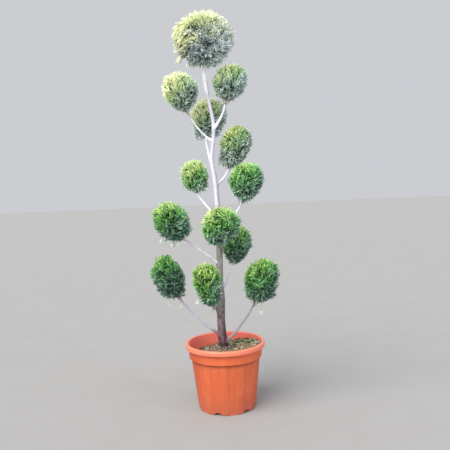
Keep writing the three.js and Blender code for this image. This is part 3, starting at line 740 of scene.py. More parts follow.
def leaf_colors(kind, ramp):
    """The materials of a ball's leaves: for each side its steps, then the colour of the inside and the pale
    one."""
    sunny, middle, cool = (np.array(row) for row in ramp[:3])
    made = []
    for side, row in zip(SIDES, (sunny, mix(sunny, middle, 0.5), middle, mix(middle, cool, 0.5), cool)):
        made += [plain(f"leaf_{kind}_{side}_{step}", color, 0.55, 0.35) for step, color in enumerate(row)]
    return made + [plain(f"leaf_{kind}_inner", ramp[3], 0.7, 0.2),
                   plain(f"leaf_{kind}_pale", ramp[4], 0.55, 0.35)]


LEAVES = {kind: leaf_colors(kind, ramp) for kind, ramp in RAMPS.items()}
TWIG_COLORS = [plain("twig_pale", (190, 172, 158), 0.8), plain("twig_brown", (112, 88, 70), 0.85),
               plain("twig_dark", (62, 50, 38), 0.9)]


# Pot and soil

def rounded(outline, cut):
    """The outline with each inner corner replaced by a quadratic curve that starts and ends cut from the
    corner."""
    made = [outline[:1]]
    for before, corner, after in zip(outline[:-2], outline[1:-1], outline[2:]):
        start, end = (corner + unit(far - corner) * min(cut, 0.45 * np.linalg.norm(far - corner))
                      for far in (before, after))
        made.append(arc(start, corner, end, np.linspace(0, 1, 5)))
    return np.vstack([*made, outline[-1:]])


def filled(outline, longest):
    """The outline with points added so that no step is longer than longest."""
    made = [outline[:1]]
    for a, b in zip(outline[:-1], outline[1:]):
        count = max(1, math.ceil(np.linalg.norm(b - a) / longest))
        made.append(mix(a, b, (np.arange(1, count + 1) / count)[:, None]))
    return np.vstack(made)


def turned(outline, sides, first=0.0):
    """A profile of radius and height pairs carried round the Z axis, from the front to the right. The profile
    starts and ends on the axis."""
    angle = first + circle(sides)
    radius, height = outline[1:-1, 0][:, None], outline[1:-1, 1][:, None]
    rings = np.stack([radius * np.sin(angle), -radius * np.cos(angle), height + 0 * angle], -1)
    poles = np.array([[0, 0, outline[0, 1]], [0, 0, outline[-1, 1]]])
    return np.vstack([rings.reshape(-1, 3), poles]), ring_faces(*rings.shape[:2])


def from_axis(points):
    """How far each point lies from the pot's axis."""
    return np.hypot(points[:, 0], points[:, 1])


def pot_outline():
    """From the middle of the underside, up the outside, and down the inside to the floor."""
    return np.array([
        [0, 0], [BASE_RADIUS - BASE_EDGE, 0], [BASE_RADIUS, BASE_EDGE], [BODY_TOP, BODY_HEIGHT],
        [COLLAR_BOTTOM, COLLAR_FOOT], [COLLAR_RADIUS, LIP_FOOT], [LIP_RADIUS - 0.0025, LIP_FOOT],
        [LIP_RADIUS, LIP_FOOT + 0.004], [LIP_RADIUS - 0.0006, POT_HEIGHT - 0.005],
        [LIP_RADIUS - 0.004, POT_HEIGHT], [MOUTH_RADIUS + 0.002, POT_HEIGHT], [MOUTH_RADIUS, MOUTH_HEIGHT],
        [COLLAR_BOTTOM - WALL, SHOULDER], [BODY_TOP - WALL, BODY_HEIGHT],
        [BASE_RADIUS - WALL - BASE_EDGE, FLOOR], [0, FLOOR],
    ])


def pot():
    """The turned outline, with its outer body pressed in at the flutes, and the drain holes cut through its
    edge."""
    outline = filled(rounded(pot_outline(), 0.0016), 0.007)
    points, faces = turned(outline, FLUTES * FLUTE_SIDES, FLUTE_ANGLE)
    pressed = 1 - fade(off_flute(points), (1 - FLUTE_WALL) / 2, (1 + FLUTE_WALL) / 2)
    depth = FLUTE_DEPTH * pressed * fade(points[:, 2], 0.0005, 0.004) * on_body(points)
    points[:, :2] *= (1 - depth / np.maximum(from_axis(points), 0.01))[:, None]
    thing = mesh_piece("pot_shell", points, faces, [pot_plastic()], ["pot"])
    cut_drains(thing)
    mark_pot(thing)


def off_flute(points):
    """How far each point lies from the middle of the nearest flute, in half pitches."""
    flute = (np.arctan2(points[:, 0], -points[:, 1]) - FLUTE_ANGLE) / (2 * np.pi) * FLUTES
    return np.abs(flute - np.round(flute)) * 2


def within_wall(height):
    """A radius inside the pot's wall at each height, nearer to the inner face than a flute is pressed."""
    return np.interp(height, [0, BODY_HEIGHT, SHOULDER, LIP_FOOT, POT_HEIGHT], [
        BASE_RADIUS - 0.8 * WALL, BODY_TOP - 0.8 * WALL, COLLAR_BOTTOM - 0.5 * WALL,
        COLLAR_RADIUS - 0.3 * WALL, MOUTH_RADIUS + 0.0025])


def on_body(points):
    """True on the outside of the body, below the collar."""
    skin = BASE_RADIUS + (BODY_TOP - BASE_RADIUS) / COLLAR_FOOT * points[:, 2] - WALL / 2 - BASE_EDGE / 2
    return (from_axis(points) > skin) & (points[:, 2] < COLLAR_FOOT - 0.001)


def mark_pot(thing):
    """Keeps on each point how close it is to a flute's edge, how far it lies in a flute, and whether it is
    on the inner wall."""
    points = np.empty((len(thing.data.vertices), 3), np.float32)
    thing.data.vertices.foreach_get("co", points.ravel())
    off, body = off_flute(points), on_body(points)
    inner = (from_axis(points) < within_wall(points[:, 2])) & (points[:, 2] > FLOOR)
    store(thing, "mark", np.stack([bell((off - 0.5) / 0.12) * body, fade(off, 0.62, 0.40) * body, inner], 1))


def cut_drains(thing):
    """Cuts an arched hole through the lower edge at every second flute: a lying cylinder squashed to the
    hole."""
    angle = circle(DRAIN_SIDES)[:, None]
    parts = []
    for turn in FLUTE_ANGLE + 2 * np.pi / FLUTES * (2 * np.arange(DRAINS) + 1):
        out = np.array([math.sin(turn), -math.cos(turn), 0])
        ring = DRAIN_WIDTH / 2 * np.cos(angle) * np.cross(UP, out) + DRAIN_HEIGHT * np.sin(angle) * UP
        ends = [out * reach for reach in (BASE_RADIUS - DRAIN_REACH, BASE_RADIUS + 0.01)]
        parts.append((np.vstack([*(ring + end for end in ends), *ends]), ring_faces(2, DRAIN_SIDES), 0))
    points, faces, _ = joined(parts)
    cutter = mesh_thing("drain_cutter", points, faces)
    change = thing.modifiers.new("drains", "BOOLEAN")
    change.object, change.operation, change.solver = cutter, "DIFFERENCE", "EXACT"
    bpy.context.view_layer.update()
    cut = bpy.data.meshes.new_from_object(thing.evaluated_get(bpy.context.evaluated_depsgraph_get()))
    thing.modifiers.clear()
    thing.data = cut
    cut.set_sharp_from_angle(angle=math.radians(40))
    bpy.data.objects.remove(cutter)


def from_trunk(x, y):
    """How far a place on the soil lies from the middle of the trunk's foot."""
    return np.hypot(x - TRUNK_BENDS[0, 0], y)


def soil_height(x, y):
    """A plane that rises to the right, with a mound and a level spot round the trunk."""
    reach = from_trunk(x, y)
    plane = SOIL_LEVEL + SOIL_RIGHT * x + SOIL_BACK * y
    mound = (MOUND_TOP - SOIL_LEVEL) * bell(reach / MOUND_RADIUS)
    return mix(plane + mound, MOUND_TOP, 1 - fade(reach, FLAT_RADIUS, FLAT_RADIUS + FLAT_FADE))


def rough_soil(x, y):
    """The soil's height with lumps and crumbs of three sizes, less of them against the trunk."""
    flat = np.stack([x, y, 0 * x], -1)
    lumps = sum(height * (lattice(flat, cell, seed) - 0.5) for height, cell, seed in SOIL_LUMPS)
    return soil_height(x, y) + lumps * fade(from_trunk(x, y), 0.010, 0.040)


def soil():
    """The root ball: its side follows the inside of the pot, and its top follows rough_soil."""
    brim = COLLAR_BOTTOM - WALL - 0.0002
    clear = WALL + 2 * GAP
    side = filled(np.array([
        [0, FLOOR + GAP], [BASE_RADIUS - BASE_EDGE - clear, FLOOR + GAP], [BODY_TOP - clear, BODY_HEIGHT],
        [brim, SHOULDER]]), 0.03)
    shares = np.linspace(1, 0, SOIL_RINGS)[:, None]
    top = np.concatenate([brim * shares, np.full_like(shares, SOIL_LEVEL)], 1)
    points, faces = turned(np.vstack([side, top]), SOIL_SIDES)
    above = points[:, 2] > SHOULDER + 0.001
    x, y = points[above, :2].T
    z = rough_soil(x, y)
    spread = (MOUTH_RADIUS - COLLAR_BOTTOM + WALL) / (MOUTH_HEIGHT - SHOULDER) / brim
    wider = 1 + spread * (z - SHOULDER)
    points[above] = np.stack([x * wider, y * wider, z], 1)
    mesh_piece("soil_top", points, faces, [compost()], ["soil"])


def scattered(random, count, middle, spread):
    """Seeded places on the soil round a middle, kept inside the pot and off the trunk."""
    place = np.array(middle) + random.normal(0, 1, (count, 2)) * np.array(spread)
    return place[(from_axis(place) < BED_REACH) & (from_trunk(*place.T) > 0.022)]


def drawn_in(place, limit):
    """The places, with those beyond a limit from the pot's axis drawn in to it."""
    place = place.copy()
    place[:, :2] *= (limit / np.maximum(from_axis(place), limit))[:, None]
    return place


def moss():
    """Cushions of moss and small weeds: short upright shoots round each seeded place, in straw and three
    greens."""
    random = np.random.default_rng(71)
    count = CUSHION_SHOOTS
    parts = []
    for middle, spread, cushions, tallest, pale in MOSS_BEDS:
        for bed in scattered(random, cushions, middle, spread):
            size = random.uniform(0.004, 0.009)
            foot = drawn_in(bed + random.normal(0, 1, (count, 2)) * size * 0.55, FOOT_REACH)
            root = np.column_stack([foot, rough_soil(*foot.T) - 0.0015])
            lean = (foot - bed) / size * 0.6 + random.normal(0, 0.35, (count, 2))
            heading = unit(np.column_stack([lean, np.ones(count)]))
            tip = drawn_in(root + heading * random.uniform(0.4, 1.0, (count, 1)) * tallest, SHOOT_REACH)
            face = unit(random.normal(0, 1, (count, 3)))
            points, faces = spindles(root, tip, random.uniform(0.0012, 0.0022, count), face)
            parts.append((points, [faces], 0 if random.random() < pale else random.integers(1, 4)))
    points, faces, shade = joined(parts)
    colors = [plain("moss_straw", (196, 196, 156)), plain("moss_yellow", (140, 150, 92)),
              plain("moss_green", (86, 110, 68)), plain("moss_dark", (60, 66, 52))]
    mesh_piece("moss", points, faces, colors, shade=shade, smooth=False)


def litter():
    """Clippings, bark crumbs and grit: short closed chips lying at random on the soil."""
    random = np.random.default_rng(72)
    place = scattered(random, CHIPS, (0.0, 0.0), (0.07, 0.07))
    count = len(place)
    turn = random.uniform(0, 2 * np.pi, count)
    along = np.column_stack([np.cos(turn), np.sin(turn), random.normal(0, 0.25, count)])
    length = random.uniform(0.002, 0.006, (count, 1)) * np.where(random.random((count, 1)) > 0.85, 2.6, 1)
    middle = np.column_stack([place, rough_soil(*place.T) + 0.0008])
    ends = [drawn_in(middle + along * length * half, SHOOT_REACH) for half in (-0.5, 0.5)]
    points, faces = spindles(*ends, random.uniform(0.0012, 0.0030, count), np.tile(UP, (count, 1)), 0.5, 0.7)
    colors = [plain("chip_brown", (122, 88, 72), 0.9), plain("chip_pale", (202, 190, 170), 0.9),
              plain("chip_dark", (60, 50, 48), 0.9), plain("chip_green", (116, 124, 84), 0.9)]
    shade = np.repeat(random.choice(4, count, p=[0.34, 0.26, 0.24, 0.16]), len(SPINDLE))
    mesh_piece("litter", points, [faces], colors, shade=shade, smooth=False)


# Trunk and boughs

TRUNK_LINE, TRUNK_LENGTH = evenly(wave_through(TRUNK_BENDS), TRUNK_POINTS)


def trunk_point(height):
    """The point on the trunk's centre line at a height."""
    return np.array([np.interp(height, TRUNK_LINE[:, 2], TRUNK_LINE[:, k]) for k in range(3)])


def trunk_girth(rise, angle):
    """Taper, plus a swelling under the crown, times the root flare with its lobes."""
    taper = TIP_RADIUS + (FOOT_RADIUS - TIP_RADIUS) * (1 - rise / TRUNK_LENGTH) ** TAPER_POWER
    swelling = SWELLING * bell((GROUND + rise - SWELLING_HEIGHT) / SWELLING_REACH)
    spread = FLARE * np.exp(-rise / FLARE_HEIGHT)
    return (taper + swelling) * (1 + spread * (1 + 0.3 * np.cos(LOBES * angle)))


def grain_of(girth, along):
    """Where each point of a limb's rings lies on the limb: (r cos a, r sin a, length)."""
    angle = circle(girth.shape[1])
    return np.stack([np.cos(angle) * girth, np.sin(angle) * girth, along + 0 * girth], -1)


def relief(grain, strength):
    """Bark relief: ridges from noise on the grain, squeezed lengthwise, and finer wrinkles across them."""
    ring = grain * [1, 1, 0.15]
    ridges = lattice(ring, 0.0036, 5) - 0.5
    wrinkles = lattice(ring * [1, 1, 12], 0.0030, 6) - 0.5
    swells = lattice(ring * [1, 1, 2], 0.022, 7) - 0.5
    return strength * (ridges + 0.35 * wrinkles + 1.1 * swells)


def bark_piece(name, replaced, material, points, faces, grain, length):
    """A limb's piece, which keeps its grain and that of its two poles."""
    thing = mesh_piece(name, points, faces, [material], [replaced])
    store(thing, "grain", np.vstack([grain.reshape(-1, 3), [0, 0, 0], [0, 0, length]]))
    return thing


def trunk():
    """The trunk's solid with bark relief, a collar round each fork and a scar where each knot is."""
    path = TRUNK_LINE[::2]
    rise = np.linspace(0, TRUNK_LENGTH, TRUNK_POINTS)[::2, None]
    girth = trunk_girth(rise, circle(TRUNK_SIDES))
    across = np.array([1.0, 0, 0])
    out = girth[..., None] * spokes(path, across, TRUNK_SIDES)[1]
    skin = path[:, None] + out
    grain = grain_of(girth, rise)
    bumps, scar = relief(grain, TRUNK_RELIEF), np.zeros(girth.shape)
    for height, compass, size in KNOTS:
        middle = trunk_point(height) + pointing(compass) * trunk_girth(height - GROUND, 0)
        far = np.linalg.norm(skin - middle, axis=-1) / size
        bumps += KNOT_RIM * bell(far) - KNOT_HOLLOW * bell(far / 0.5)
        scar = np.maximum(scar, bell((far / 0.75) ** 2))
    for ball in BALLS.values():
        if "fork" in ball:
            far = np.linalg.norm(skin - (ball["fork_skin"] - UP * FORK_DROP), axis=-1)
            bumps += FORK_SWELL * bell(far / FORK_REACH)
    rightward = np.maximum(out[..., 0] / girth, 0)
    bumps += GROWN * rightward**1.5 * bell((GROUND + rise - GROWN_HEIGHT) / GROWN_REACH)
    bumps *= fade(TRUNK_LENGTH - rise, 0.0, 0.02)
    points, faces = limb(path, across, girth + bumps)
    points[:, 2] = np.maximum(points[:, 2], GROUND - 0.0005)
    thing = bark_piece("trunk_bark", "trunk", trunk_bark(), points, faces, grain, TRUNK_LENGTH)
    store(thing, "scar", np.append(scar, [0, 0]))


def place_balls():
    """Adds to each row of the table its looks, its vectors, its lean towards its bough, and its bough's
    curve, which sags from the straight line by bow times its length."""
    for name, ball in BALLS.items():
        ball.update({**PLAIN_LOOKS, **BALL_LOOKS[name]})
        ball["centre"] = np.array(ball["centre"], float)
        ball["lean"] = np.zeros(2)
        if "fork" not in ball:
            continue
        ball["tip"] = np.array(ball["tip"])
        entry = ball["tip"] - ball["centre"]
        ball["lean"] = LEAN_TO_BOUGH * entry[:2] / entry[2]
        start = trunk_point(ball["fork"])
        reach = ball["tip"] - start
        level = reach * [1, 1, 0]
        sag = unit(level) * reach[2] - UP * np.linalg.norm(level)
        bend = start + 0.5 * reach + 2 * ball["bow"] * sag
        share = np.linspace(0, 1, BOUGH_POINTS)
        ball["line"], ball["length"] = evenly(arc(start, bend, ball["tip"], share), BOUGH_POINTS)
        ball["side"] = unit(np.cross(unit(level), UP))
        skin = int(BOUGH_POINTS * trunk_girth(ball["fork"] - GROUND, 0) / ball["length"])
        ball["fork_skin"] = ball["line"][skin]


def bough(name, ball, finish):
    """A bough's solid from the trunk's centre line to its ball, with bark relief and the rings of old
    shoots."""
    random = np.random.default_rng(sum(map(ord, name)))
    rings = int(ball["length"] / BOUGH_STEP)
    path, length = evenly(ball["line"], rings)
    share = np.linspace(0, 1, rings)[:, None]
    past = np.maximum(share * length - FOOT_RADIUS * 0.75, 0)
    angle = circle(BOUGH_SIDES)
    girth = mix(ball["girth"], ball["girth"] * BOUGH_TIP_SHARE, share)
    girth = girth * (1 + BOUGH_COLLAR * np.exp(-past / BOUGH_COLLAR_LENGTH)) + 0 * angle
    grain = grain_of(girth, share * length)
    bumps = relief(grain, BOUGH_RELIEF) - ball["slim"] * fade(past, 0.005, 0.030)
    joints = np.arange(0.04, 1, JOINT_GAP / length)
    for joint in joints + random.uniform(-0.01, 0.01, len(joints)):
        side = np.maximum(np.cos(angle - random.uniform(0, 2 * np.pi)), 0)
        bumps += (JOINT_RISE + JOINT_LEAN * side) * bell((share - joint) * length / JOINT_WIDTH)
    points, faces = limb(path, ball["side"], girth + bumps)
    bark_piece("bark_" + name, "bough_" + name, finish, points, faces, grain, length)


# Foliage

def spray_table(laterals, borne=()):
    """The shoots of one flat spray. A row for each side shoot, then for the two halves of its midrib: how
    far up it starts, its angle, its length as a share of the spray's, and its width. Then a row for each
    shoot that a side shoot bears, which the last two don't: which one bears it, how far along, its turn,
    and its length as a share of the bearer's. borne gives the last three, with the turn inwards."""
    up = np.linspace(0.14, 0.82, laterals)
    side = np.where(np.arange(laterals) % 2, 1.0, -1.0)
    rows = [np.stack([up, side * np.radians(mix(34, 20, up)), 0.34 * (1 - 0.40 * up), np.ones(laterals)], 1),
            [[0.0, 0.0, 0.56, 0.7], [0.50, 0.0, 0.55, 1.0]]]
    kids = [(k, along, -side[k] * turn, share) for k in range(laterals - 2) for along, turn, share in borne]
    return np.vstack(rows), np.array(kids).reshape(-1, 4)


OUTER_SPRAY, INNER_SPRAY = spray_table(7, [(0.45, math.radians(28), 0.55)]), spray_table(5)


def sprays(random, table, root, heading, face, length, width, curl):
    """Many flat feathery sprays at once. In a spray's own plane a shoot runs from (x, y) along (sin a, cos
    a), and the plane curls by curl y². Returns the shoots' points and faces, and how far up its spray each
    shoot ends."""
    rows, borne = table
    own, kids = (len(root), len(rows)), (len(root), len(borne))

    def run(angle, reach, tilt):
        return reach[..., None] * np.stack([np.sin(angle), np.cos(angle), tilt], -1)

    up, angle, reach, broad = (column + np.zeros(own) for column in rows.T)
    free = angle != 0
    angle = angle + random.normal(0, 0.13, own) * free
    reach = reach * random.uniform(0.82, 1.18, own)
    tilt = random.normal(0, 0.16, own) * free
    start = np.stack([0 * up, up, 0 * up], -1)
    end = start + run(angle, reach, tilt)
    if len(borne):
        parent = borne[:, 0].astype(int)
        along, turn, share = borne[:, 1:].T
        kid_start = mix(start[:, parent], end[:, parent], along[:, None])
        kid_angle = angle[:, parent] + turn + random.normal(0, 0.10, kids)
        kid_reach = reach[:, parent] * share * random.uniform(0.8, 1.2, kids)
        kid_tilt = tilt[:, parent] + random.normal(0, 0.15, kids)
        kid_end = kid_start + run(kid_angle, kid_reach, kid_tilt)
        start, end = np.concatenate([start, kid_start], 1), np.concatenate([end, kid_end], 1)
        broad = np.concatenate([broad, np.full(kids, 0.85)], 1)
    across = unit(np.cross(heading, face))
    out = np.cross(across, heading)

    def in_frame(place):
        x, y, z = (place[..., k] * length[:, None] for k in range(3))
        z = z - curl[:, None] * place[..., 1] ** 2 * length[:, None]
        return (root[:, None] + across[:, None] * x[..., None] + heading[:, None] * y[..., None]
                + out[:, None] * z[..., None])

    facing = np.broadcast_to(out[:, None], start.shape)
    points, faces = shoots(in_frame(start), in_frame(end), width[:, None] * broad, facing)
    return points, faces, end[..., 1]


def on_ball(ball, direction, share):
    """The clipped surface of a ball: an egg with its blunt end up, sheared towards its bough and scaled by
    share."""
    share = np.asarray(share, float)
    share = share[..., None] if share.ndim else share
    narrow = 1 - ball["taper"] * fade(-direction[..., 2], -0.25, 1)
    point = direction * np.array([ball["width"], ball["width"], ball["height"]]) / 2 * share
    point = point * np.stack([narrow, narrow, np.ones_like(narrow)], -1)
    point[..., :2] += ball["lean"] * point[..., 2:]
    return point + ball["centre"]


def bells(places, direction):
    """The sum of bell curves of the angle from each place, given as compass angle, rise, width and amount."""
    total = np.zeros(len(direction))
    for compass, rise, width, amount in places:
        angle = np.degrees(np.arccos(np.clip(direction @ pointing(compass, rise), -1, 1)))
        total += amount * bell(angle / width)
    return total


def form(ball, direction):
    """How much further out than an egg the clipped surface lies in each direction: a full skirt round its
    lower side, and swellings or hollows, each a bell curve of the angle from its middle."""
    return 1 + ball["skirt"] * bell((direction[:, 2] + 0.62) / 0.28) + bells(ball["swells"], direction)


def may_grow(ball, root, tip, clearance):
    """True for each spray whose midrib keeps a clearance from the trunk and from its ball's own bough, and
    enters none of its ball's gaps."""
    midrib = mix(root[:, None], tip[:, None], np.linspace(0, 1, 5)[:, None])
    level = np.abs(TRUNK_LINE[:, 2] - ball["centre"][2]) < ball["height"]
    lines = [(TRUNK_LINE[level], TRUNK_CLEARANCE)]
    if "line" in ball:
        lines.append((ball["line"], BOUGH_CLEARANCE))
    free = np.ones(len(root), bool)
    for line, radius in lines:
        gap = np.linalg.norm(midrib[:, :, None] - line[::8], axis=-1).min((1, 2))
        free &= gap - radius > clearance
    right, _, above = np.moveaxis(midrib - ball["centre"], -1, 0)
    for across, up, half_width, half_height in ball["gaps"]:
        free &= ~((np.abs(right - across) < half_width) & (np.abs(above - up) < half_height)).any(1)
    return free


def ball_stem(ball):
    """The line that a ball's twigs leave: the bough carried on to the ball's centre, or the crown's trunk."""
    if "line" not in ball:
        inside = TRUNK_LINE[TRUNK_LINE[:, 2] > ball["centre"][2] - 0.36 * ball["height"]]
        return evenly(inside, STEM_POINTS)[0]
    tip, line = ball["tip"], ball["line"]
    heading = unit(line[-1] - line[-8])
    end = ball["centre"] + UP * 0.12 * ball["height"]
    bend = tip + heading * 0.5 * np.linalg.norm(end - tip)
    return evenly(arc(tip - heading * 0.002, bend, end, np.linspace(0, 1, STEM_POINTS)), STEM_POINTS)[0]


def ball_root(ball):
    """Where a ball's limbs fan out from: its bough's tip, or the trunk under the crown."""
    return ball["tip"] if "tip" in ball else ball["centre"] - UP * 0.4 * ball["height"]


def nearest(directions, targets):
    """For each direction, which of the targets lies nearest to it."""
    return np.argmax(directions @ targets.T, axis=1)


def branch_out(ball, random, tufts, tuft, outer_root):
    """The twigs of a ball: main twigs leave the stem for golden-angle directions, a side twig for each tuft
    leaves the main twig nearest to it, and a stalk runs from a tuft's side twig to each of its sprays. tuft
    says which tuft each spray belongs to."""
    stem = ball_stem(ball)
    size = ball["width"]
    count = round(MAIN_TWIGS * size / USUAL_WIDTH)
    mains = golden_directions(count, random.uniform(0, 0.6, count))
    start_share = np.clip(0.5 + 0.5 * mains[:, 2] + random.uniform(-0.1, 0.1, count), 0.02, 0.98)
    start = stem[(start_share * (len(stem) - 1)).astype(int)]
    end = on_ball(ball, mains, random.uniform(0.50, 0.60, count))
    bend = mix(start, end, 0.5) - UP * 0.08 * size + unit(end - start) * 0.02 * size
    thick = np.full(count, MAIN_RADIUS) * (size / USUAL_WIDTH) ** 0.5
    main = (*rods(start, bend, end, thick, thick * 0.55, 5, 5), 1)

    parent = nearest(tufts, mains)
    at = random.uniform(0.45, 0.95, len(tufts))
    start2 = arc(start[parent], bend[parent], end[parent], at)
    end2 = on_ball(ball, tufts, random.uniform(0.66, 0.76, len(tufts)) * form(ball, tufts))
    bend2 = mix(start2, end2, 0.5) - UP * 0.02 * size
    thin = np.full(len(tufts), SIDE_RADIUS)
    side = (*rods(start2, bend2, end2, thin, thin * 0.6, 4, 3), 1)

    at = random.uniform(0.5, 1.0, len(outer_root))
    start3 = arc(start2[tuft], bend2[tuft], end2[tuft], at)
    face = unit(random.normal(0, 1, start3.shape))
    points, faces = shoots(start3, outer_root, np.full(len(outer_root), STALK_WIDTH), face, 0.3, 0.8)
    return [main, side, (points, [faces], 2), under_twigs(ball, random)]


def under_twigs(ball, random):
    """Bare twigs that leave the bough below the ball, or the stem, and fan up into its underside."""
    count = ball["fan"]
    if "line" in ball:
        stem, first, last = ball["line"], 1 - 0.030 / ball["length"], 0.99
    else:
        stem, first, last = ball_stem(ball), 0, 0.15
    compass = random.uniform(0, 2 * np.pi) + np.arange(count) * GOLDEN
    low = np.column_stack([0.70 * np.cos(compass), 0.70 * np.sin(compass), np.full(count, -0.60)])
    end = on_ball(ball, unit(low), 0.78)
    last = int(len(stem) * last)
    start = stem[random.integers(min(int(len(stem) * first), last - 1), last, count)]
    bend = mix(start, end, 0.5) - UP * random.uniform(0.0, 0.010, (count, 1))
    return (*rods(start, bend, end, np.full(count, 0.0016), np.full(count, 0.0009), 6, 5), 0)


def tones(ball, random, outward, tuft, edge, tuft_count, up_spray):
    """Which of its ball's materials each shoot has. The step goes from 0, the lightest: painted light towards
    the sun and on raised tufts, painted shade below and between tufts, lighter at a spray's tip and darker
    towards its root partly as painted shade, the ball's shades of painted light and shade, and seeded
    differences. The
    sunny greens are on the side of WARM_SIDE, the cool ones on the other, with ragged borders of whole tufts:
    partly the greens' own hue and partly painted sun and shade. A few tips are pale."""
    count, own = up_spray.shape
    patch = lattice(outward * ball["width"] / 2 + ball["centre"], 0.024, 11) - 0.5
    # Painted light towards the sun and painted shade away from it.
    step = MIDDLE_STEP - ball["contrast"] * dot(outward, SUNWARD) + 1.2 * patch + ball["dark"]
    # Seeded differences, and painted shade towards a tuft's edge.
    step += random.normal(0, 0.32, tuft_count)[tuft] + 0.6 * (edge - 0.6) + random.normal(0, 0.28, count)
    # The ball's own painted light and shade.
    step += bells(ball["shades"], outward)
    # Lighter towards a spray's tip and darker towards its root, partly painted shade.
    step = step[:, None] - 1.35 * (up_spray - 0.70) + random.normal(0, 0.12, (count, own))
    step -= 0.8 * fade(up_spray, 0.80, 1.0)
    step = np.clip(np.round(step), 0, STEPS - 1).astype(int)
    # The sunny greens towards WARM_SIDE and the warms, partly painted sun; the cool ones away.
    warmth = dot(outward, WARM_SIDE) + ball["warm"] + bells(ball["warms"], outward)
    warmth += random.normal(0, 0.15, tuft_count)[tuft] + random.normal(0, 0.11, count)
    side = (warmth[:, None] < WARM_EDGES).sum(1)
    pale = (up_spray > 0.92) & (random.random(up_spray.shape) < ball["pale"])
    return np.where(pale, PALE, step + STEPS * side[:, None])


def outer_sprays(ball, random, tuft_count, count):
    """The sprays that end on the clipped surface, bunched in tufts round golden-angle directions. Each
    heads outwards, away from the bough's tip and from its tuft's middle, with a swirl of noise. Returns
    them with the tufts' directions, the tuft of each spray and the root of each."""
    cell = 2 / math.sqrt(tuft_count)  # the radius of a tuft's share of a unit sphere
    tufts = golden_directions(tuft_count, random.uniform(0, 0.6, tuft_count))
    tufts = unit(tufts + cell * 0.30 * random.normal(0, 1, (tuft_count, 3)))
    direction = golden_directions(count, random.uniform(0, 0.5, count))
    tuft = nearest(direction, tufts)
    away = (direction - tufts[tuft]) / cell
    edge = np.linalg.norm(away, axis=1)
    skin = on_ball(ball, direction, 1.0)
    rise = np.clip(random.normal(0, 0.022, tuft_count), -0.05, 0.05)[tuft]
    low = fade(-direction[:, 2], 0.25, 0.75)
    share = 0.950 + LUMPS * (lattice(skin, 0.030, 21) - 0.5) + rise - 0.045 * edge**2
    share += (0.095 + 0.05 * low) * random.random(count) ** 3
    tip = on_ball(ball, direction, share * form(ball, direction))
    outward = unit(tip - ball["centre"])
    fan = unit(skin - ball_root(ball))
    swirl = np.stack([lattice(skin, 0.034, 31 + axis) for axis in range(3)], 1) - 0.5
    heading = 0.62 * outward + 0.50 * fan + 0.42 * away + 1.1 * swirl + 0.24 * random.normal(0, 1, (count, 3))
    heading = unit(heading - bells(ball["hangs"], direction)[:, None] * UP)
    inwards = np.minimum(dot(heading, outward) - 0.30, 0)[:, None]
    heading = unit(heading - inwards * outward)
    length = SPRAY_LENGTH * ball["long"] * random.uniform(0.75, 1.22, count)
    root = tip - heading * length[:, None]
    roll = unit(outward + 0.7 * random.normal(0, 1, (count, 3)))
    keep = may_grow(ball, root, tip, 0.003)
    root, heading, length, roll, outward, tuft, edge = (
        v[keep] for v in (root, heading, length, roll, outward, tuft, edge))
    kept = len(root)
    points, faces, up_spray = sprays(random, OUTER_SPRAY, root, heading, roll, length,
                                     random.uniform(0.0018, 0.0026, kept), random.normal(0.10, 0.14, kept))
    tone = tones(ball, random, outward, tuft, edge, tuft_count, up_spray)
    return (points, [faces], np.repeat(tone.ravel(), len(SHOOT))), tufts, tuft, root


def inner_sprays(ball, random, count):
    """Broader, darker sprays under the outer ones, so that the ball looks full; their dark greens are partly
    painted shade.
    """
    spread = golden_directions(count, random.uniform(0, 0.8, count))
    tip = on_ball(ball, spread, random.uniform(0.74, 0.91, count) * form(ball, spread))
    out = unit(tip - ball["centre"])
    heading = unit(out + 0.35 * random.normal(0, 1, (count, 3)))
    root = tip - heading * INNER_LENGTH
    keep = may_grow(ball, root, tip, 0.002)
    kept = keep.sum()
    points, faces, up_spray = sprays(random, INNER_SPRAY, root[keep], heading[keep], out[keep],
                                     np.full(kept, INNER_LENGTH), random.uniform(0.0050, 0.0075, kept),
                                     random.normal(0.1, 0.1, kept))
    tone = random.choice(list(INNER_TONES), kept, p=list(INNER_TONES.values()))
    return points, [faces], np.repeat(tone, len(SHOOT) * up_spray.shape[1])


def stragglers(name, ball, random):
    """The bare twigs below a ball, and the sprays of the small tufts that hang on them: pale, and some of
    them the lightest sunny green on the crown or the lightest cool green on the others."""
    rows = np.array(STRAGGLERS[name])
    end = ball["centre"] + rows[:, :3]
    start = ball["centre"] + rows[:, :3] * [0.70, 0.70, 0.50]
    bend = mix(start, end, 0.5) + random.normal(0, 0.003, start.shape)
    width = np.full(len(start), 0.0013)
    twigs = (*rods(start, bend, end, width, width * 0.6, 6, 4), 0)
    count = rows[:, 3].astype(int)
    length = np.repeat(rows[:, 4], count)
    heading = np.repeat(unit(end - start) - 0.7 * UP, count, 0)
    spread, other = (0.30, 0) if name == "crown" else (0.50, 4 * STEPS)
    heading = unit(heading + random.normal(0, spread, heading.shape))
    root = np.repeat(end, count, 0) - heading * 0.3 * length[:, None]
    face = unit(random.normal(0, 1, root.shape))
    points, faces, up_spray = sprays(random, OUTER_SPRAY, root, heading, face, length,
                                     np.full(len(root), 0.0030), np.zeros(len(root)))
    tone = np.where(random.random(up_spray.size) > 0.30, PALE, other)
    return twigs, (points, [faces], tone.repeat(len(SHOOT)))


